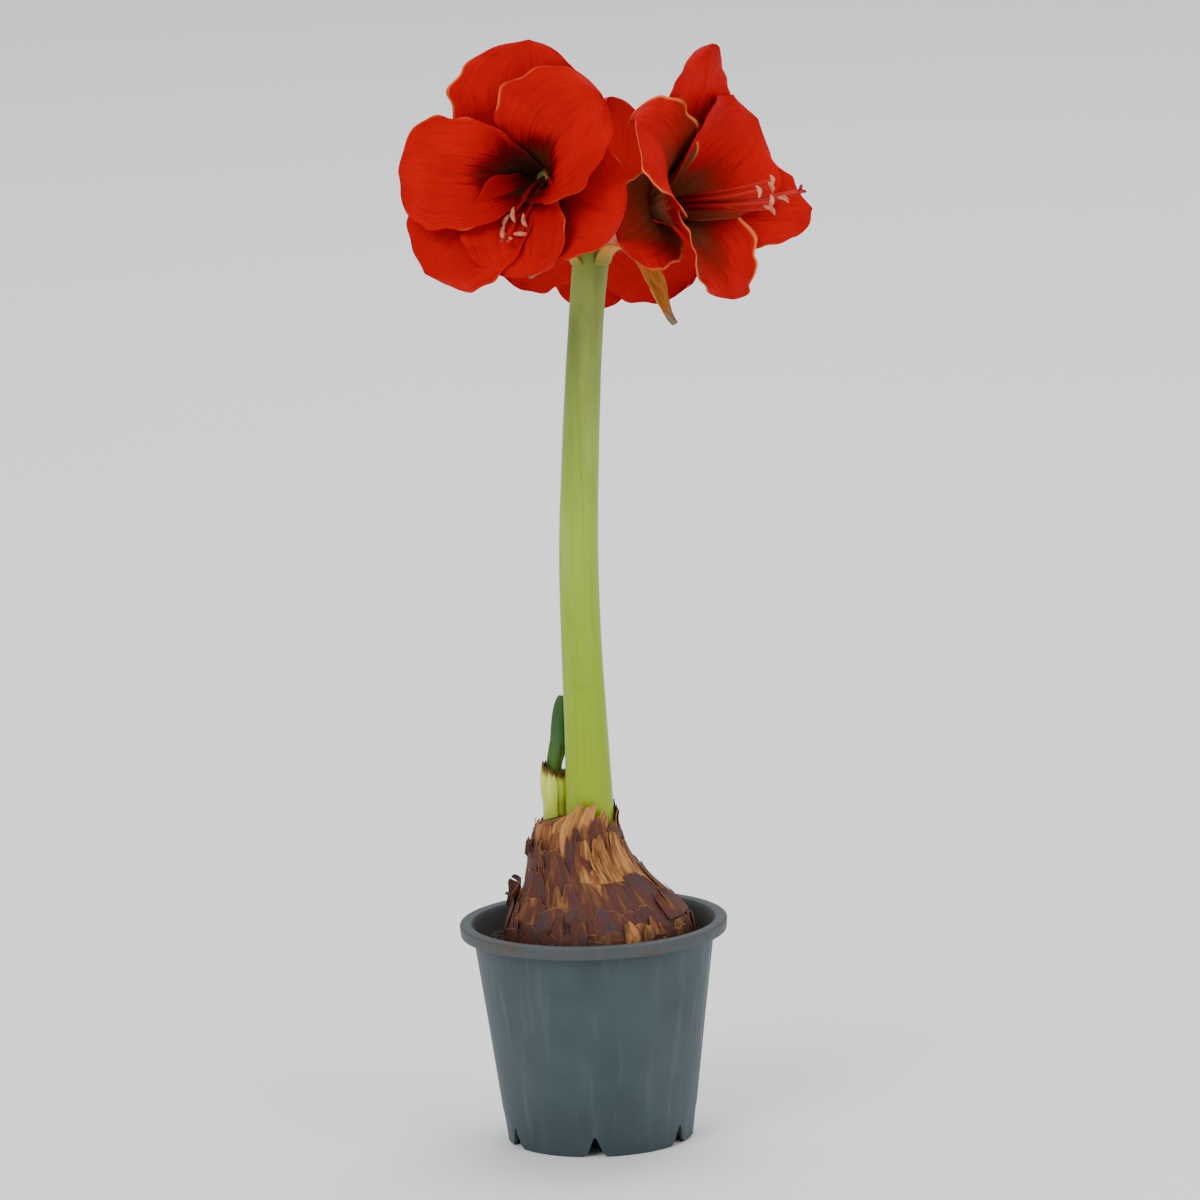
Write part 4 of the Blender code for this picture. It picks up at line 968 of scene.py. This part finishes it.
def tepal_surface(kind, about, length, width, end, lean, phase, draw):
    """A tepal's surface in its bloom's frame, with the CAD blade's form and finer ruffles and tip."""
    radial = np.array((math.cos(about), math.sin(about), 0))
    sideways = np.array((-math.sin(about), math.cos(about), 0))
    axis = np.array((0.0, 0.0, 1.0))
    fine = np.linspace(0, 1, 241)
    slope = np.radians(kind["start"] + (end - kind["start"]) * (0.55 * fine + 0.45 * fine ** 2))
    out_way = TUBE_RADIUS - kind["lift"] + np.concatenate([[0], np.cumsum(np.sin(slope[:-1]))]) * length / 240
    up_way = -2 * MM + np.concatenate([[0], np.cumsum(np.cos(slope[:-1]))]) * length / 240
    frills = [(draw.uniform(0.5, 1.0), draw.uniform(2.6, 3.6) * k, draw.uniform(0, 6)) for k in (1, 1.9, 3.3)]

    def surface(s, v):
        radius, tilt = np.interp(s, fine, out_way), np.interp(s, fine, slope)
        inward = -radial * np.cos(tilt)[..., None] + axis * np.sin(tilt)[..., None]
        rising = np.sin(math.pi / 2 * np.clip(s / TEPAL_WIDEST, 0, 1)) ** 0.9
        past = np.clip(s - TEPAL_WIDEST, 0, 1) / (1 - TEPAL_WIDEST)
        falling = np.clip(1 - past ** 2, 0, 1) ** kind["tip"]
        full = np.where(s < TEPAL_WIDEST, rising, falling)
        nibbles = 0.035 * np.sin(17 * s + frills[0][2]) + 0.03 * np.sin(37 * s + frills[1][2])
        scallop = 1 + nibbles * np.abs(v) ** 2
        half = (width / 2 * (0.11 * (1 - s) ** 2 + full)) * scallop + 0.9 * MM
        bend = np.maximum(radius, 4 * MM) * (1 + kind["flat"] * s * s)
        turn = v * half / bend + lean * s * s
        side = np.where(v > 0, 1.9, 0)
        ruffle = kind["wave"] * s ** 1.2 * np.abs(v) ** 2.2 * np.sin(2 * math.pi * 1.7 * s + phase + side)
        frill = sum(
            a * np.sin(2 * math.pi * f * s + p + side * 2) / (i + 1) for i, (a, f, p) in enumerate(frills)
        )
        frill = frill * s ** 1.5 * np.abs(v) ** 3 * 2.2 * MM
        rib_ends = np.clip(s / 0.15, 0, 1) * np.clip((1 - s) / 0.12, 0, 1)
        rib = -0.55 * MM * np.exp(-((v / 0.07) ** 2)) * rib_ends
        pleat = 0.22 * MM * np.sin(9 * math.pi * v) * np.sin(math.pi * s) * (1 - np.abs(v) ** 4)
        fall = -kind["fall"] * s * s * v * v
        up = bend * (1 - np.cos(turn)) + ruffle + frill + rib + pleat + fall
        return (
            radial * radius[..., None] + axis * np.interp(s, fine, up_way)[..., None]
            + sideways * (bend * np.sin(turn))[..., None] + inward * up[..., None]
        )

    return surface


def petal_thickness(s, v):
    return (0.75 - 0.35 * np.abs(v) ** 2 - 0.2 * s) * MM


# Stamens: six thread-like filaments that rise from the throat and carry hinged anthers dusted with
# pollen, and a longer style that ends in a three-lobed stigma.
TEPAL_DRAWS, FRILL_DRAWS = 200, 400
ANTHER_RINGS, ANTHER_SIDES = 15, 14
FILAMENT_WAYS = {
    "bloom_left": [(2.4, 0.0, -3.0), (3.0, -6.5, 11.0), (4.3, -16.5, 22.0), (5.8, -24.0, 31.0)],
    "bloom_right": [(2.4, 0.0, -3.0), (3.0, -2.5, 24.0), (4.5, -7.0, 50.0), (6.5, -9.5, 73.0)],
    "bloom_back": [(2.4, 0.0, -3.0), (3.0, -4.5, 20.0), (5.0, -10.5, 40.0), (8.0, -9.5, 62.0)],
}
STYLE_WAYS = {
    "bloom_left": [(0.0, 0.0, -2.0), (0.0, -8.0, 12.0), (0.0, -20.0, 25.0), (0.0, -29.5, 37.0)],
    "bloom_right": [(0.0, 0.0, -2.0), (0.0, -3.0, 28.0), (0.0, -9.0, 58.0), (0.0, -11.5, 87.0)],
    "bloom_back": [(0.0, 0.0, -2.0), (0.0, -6.0, 22.0), (0.0, -13.5, 46.0), (0.0, -12.0, 75.0)],
}


def rosy_thread(wire):
    where = wire.place()
    fine = where.grain(500, detail=2)
    along = wire.mark("along")
    colour = (along + fine * 0.2).clip(0.3, 1.1).mix(srgb(104, 0, 3), srgb(184, 28, 22))
    return colour, 0.45 + fine * 0.1, fine, 0.0001


def pollen_dust(wire):
    where = wire.place()
    fine, blotch = where.grain(2600, detail=2), where.grain(400, detail=2)
    colour = blotch.clip(0.35, 0.65).mix(srgb(222, 140, 104), srgb(184, 100, 68))
    return colour, 0.8 + fine * 0.15, fine, 0.0003


thread_paint = paint("rosy_filament", rosy_thread, Specular_IOR_Level=0.3)
pollen_paint = paint("pollen", pollen_dust)
rings, around = np.meshgrid(
    np.linspace(0, 1, ANTHER_RINGS), np.arange(ANTHER_SIDES) * 2 * math.pi / ANTHER_SIDES, indexing="ij",
)
girth = np.sin(math.pi * np.clip(rings, 0.04, 0.96)) ** 0.45 * (1 + 0.16 * np.cos(2 * around)) * 1.25 * MM
anther_points = np.stack([
    (rings - 0.5) * 7.5 * MM, girth * np.cos(around) * 0.8,
    girth * np.sin(around) - 5.0 * MM * (rings - 0.5) ** 2,
], axis=-1).reshape(-1, 3)
number = np.arange(ANTHER_RINGS * ANTHER_SIDES).reshape(ANTHER_RINGS, ANTHER_SIDES)
ahead = np.roll(number, -1, axis=1)
anther_faces = np.stack([number[:-1], number[1:], ahead[1:], ahead[:-1]], axis=-1).reshape(-1, 4).tolist()
anther_faces += [number[0].tolist(), number[-1][::-1].tolist()]
anther = shape("anther", anther_points, faces=anther_faces, material=pollen_paint)

stamen_tree, given = new_tree("stamens", Sides="Int", Anther="Object", Seed="Int", Paint="Material")
wire = Wire(stamen_tree)
threads = round_rod(given["Geometry"], given["Sides"]).painted(given["Paint"])
tilt_spans = ((-0.5, 0.5), (-0.5, 0.2), (0.0, 6.3))
tilt = [random_number(wire, *span, given["Seed"] + k) for k, span in enumerate(tilt_spans)]
tips = wire.node("GeometryNodeInstanceOnPoints", {
    "Points": given["Geometry"],
    "Selection": wire.node("GeometryNodeCurveEndpointSelection", {"Start Size": 0, "End Size": 1}),
    "Instance": wire.node("GeometryNodeObjectInfo", {0: given["Anther"]}, output=4),
    "Rotation": wire.rotation(*tilt),
})
end_tree(threads.joined(tips).realized())


def thread_path(way, angle, share, radii, count):
    """A thread's way out of the throat, in its own direction and at a share of the full length."""
    rows = []
    for (out, down, up), r in zip(way, radii):
        reach = up * share if up > 0 else up
        rows.append((out * math.cos(angle) * MM, (out * math.sin(angle) + down) * MM, reach * MM, r * MM))
    return smooth_points(rows, count)


for order, (node, spec) in enumerate(BLOOMS.items()):
    draw = random.Random(SEED + TEPAL_DRAWS + order)
    finer = random.Random(SEED + FRILL_DRAWS + order)
    tepals = []
    for k, (about, length, width, end, lean, star_reach, rim) in enumerate(spec["tepals"]):
        kind = INNER_TEPAL if k % 2 else OUTER_TEPAL
        surface = tepal_surface(
            kind, math.radians(about), length * TEPAL_SCALE * MM, width * MM, end, lean,
            draw.uniform(0, 6), finer,
        )
        tepals.append(blade(
            surface, 64, 44, petal_thickness, crowd=1.25, tone=finer.uniform(0, 1), star_reach=star_reach,
            rim=rim, olive=spec["olive"],
        ))
    side = node.replace("bloom_", "")
    flower = plain(join_blades(f"tepals_{side}", tepals, petal_paint), bloom_frame(spec))
    settle(flower, "petal", node)
    size = spec["size"]
    tube = turned(f"floral_tube_{side}", [
        (0, 1.5 * MM), (TUBE_RADIUS - 1.4 * MM, 1.5 * MM), (TUBE_RADIUS + 0.3 * MM, -1.5 * MM),
        (TUBE_RADIUS - 0.5 * MM, -6 * MM), (4.3 * MM, -TUBE_LENGTH / size), (0, -TUBE_LENGTH / size),
    ], 48, stem_paint)
    settle(plain(tube, bloom_frame(spec)), "petal", node)
    ways = []
    for k in range(6):
        share = 1.0 if k % 2 else 0.93
        angle = math.pi * (k + 0.5) / 3
        ways.append(thread_path(FILAMENT_WAYS[node], angle, share, (0.9, 0.85, 0.75, 0.55), 26))
    stamens = stalk_curves(f"stamens_{side}", ways)
    add_tree(stamens, stamen_tree, Sides=10, Anther=anther, Seed=SEED + order, Paint=thread_paint)
    settle(plain(stamens, bloom_frame(spec)), "petal", node)
    ways = [thread_path(STYLE_WAYS[node], 0.0, 1.0, (1.0, 0.95, 0.85, 0.8), 30)]
    x, y, z, r = ways[0][-1]
    for k in range(3):
        angle = math.radians(90 + 120 * k)
        lobe = []
        for t, share in ((0, 1.0), (2, 1.05), (3.6, 1.0), (4.4, 0.5)):
            out = 0.6 * t * MM
            spot = (x + out * math.cos(angle), y + out * math.sin(angle), z + (0.4 * t - 1) * MM)
            lobe.append((*spot, r * share))
        ways.append(smooth_points(lobe, 10))
    pistil = stalk_curves(f"style_{side}", ways)
    add_tree(pistil, stalk_tree, Sides=12, Unevenness=0.0, Paint=thread_paint)
    settle(plain(pistil, bloom_frame(spec)), "petal", node)
bpy.data.objects.remove(anther, do_unlink=True)


# Studio: a pale floor, three broad soft lights and the photograph's long lens.
def pale_floor(wire):
    where = wire.place()
    cloud = where.grain(0.8, detail=1)
    return cloud.clip(0.2, 0.8).mix(srgb(246, 246, 246), srgb(249, 249, 249)), 0.9, cloud, 0.0001


floor_corners = [(-9, -9, 0), (9, -9, 0), (9, 9, 0), (-9, 9, 0)]
floor_paint = paint("studio_floor", pale_floor)
floor = shape("studio_floor", floor_corners, faces=[(0, 1, 2, 3)], material=floor_paint)
world = bpy.data.worlds.new("studio")
world.use_nodes = True
backdrop = world.node_tree.nodes["Background"]
backdrop.inputs["Color"].default_value = (0.94, 0.96, 1.0, 1)
backdrop.inputs["Strength"].default_value = 0.56
bpy.context.scene.world = world
LIGHTS_AIM = Vector((0, 0, 0.3))
for name, place, size, power in (
    ("key_light", (-3.0, -4.4, 4.2), 3.2, 208), ("fill_light", (5.0, -4.0, 2.8), 4.5, 140),
    ("top_light", (0.5, 2.2, 6.0), 4.5, 300),
):
    lamp = bpy.data.lights.new(name, "AREA")
    lamp.energy, lamp.size = power, size
    light = bpy.data.objects.new(name, lamp)
    light.location = place
    aim = LIGHTS_AIM - Vector(place)
    light.rotation_euler = aim.to_track_quat("-Z", "Y").to_euler()
    bpy.context.scene.collection.objects.link(light)

CAMERA_DISTANCE = 4.0
CAMERA_LIFT = math.radians(12.7)
CAMERA_ROLL = math.radians(-2.0)
CAMERA_AIM = Vector((8.6, 0, 265)) * MM
lens = bpy.data.cameras.new("camera")
lens.sensor_width, lens.lens = 36, 247
camera = bpy.data.objects.new("camera", lens)
rim_centre = POT_AXIS + Vector((0, 0, POT_HEIGHT))
camera.location = rim_centre + CAMERA_DISTANCE * Vector((0, -math.cos(CAMERA_LIFT), math.sin(CAMERA_LIFT)))
look = POT_AXIS + CAMERA_AIM - camera.location
camera.rotation_mode = "QUATERNION"
camera.rotation_quaternion = look.to_track_quat("-Z", "Y") @ Quaternion((0, 0, 1), CAMERA_ROLL)
bpy.context.scene.collection.objects.link(camera)
bpy.context.scene.camera = camera
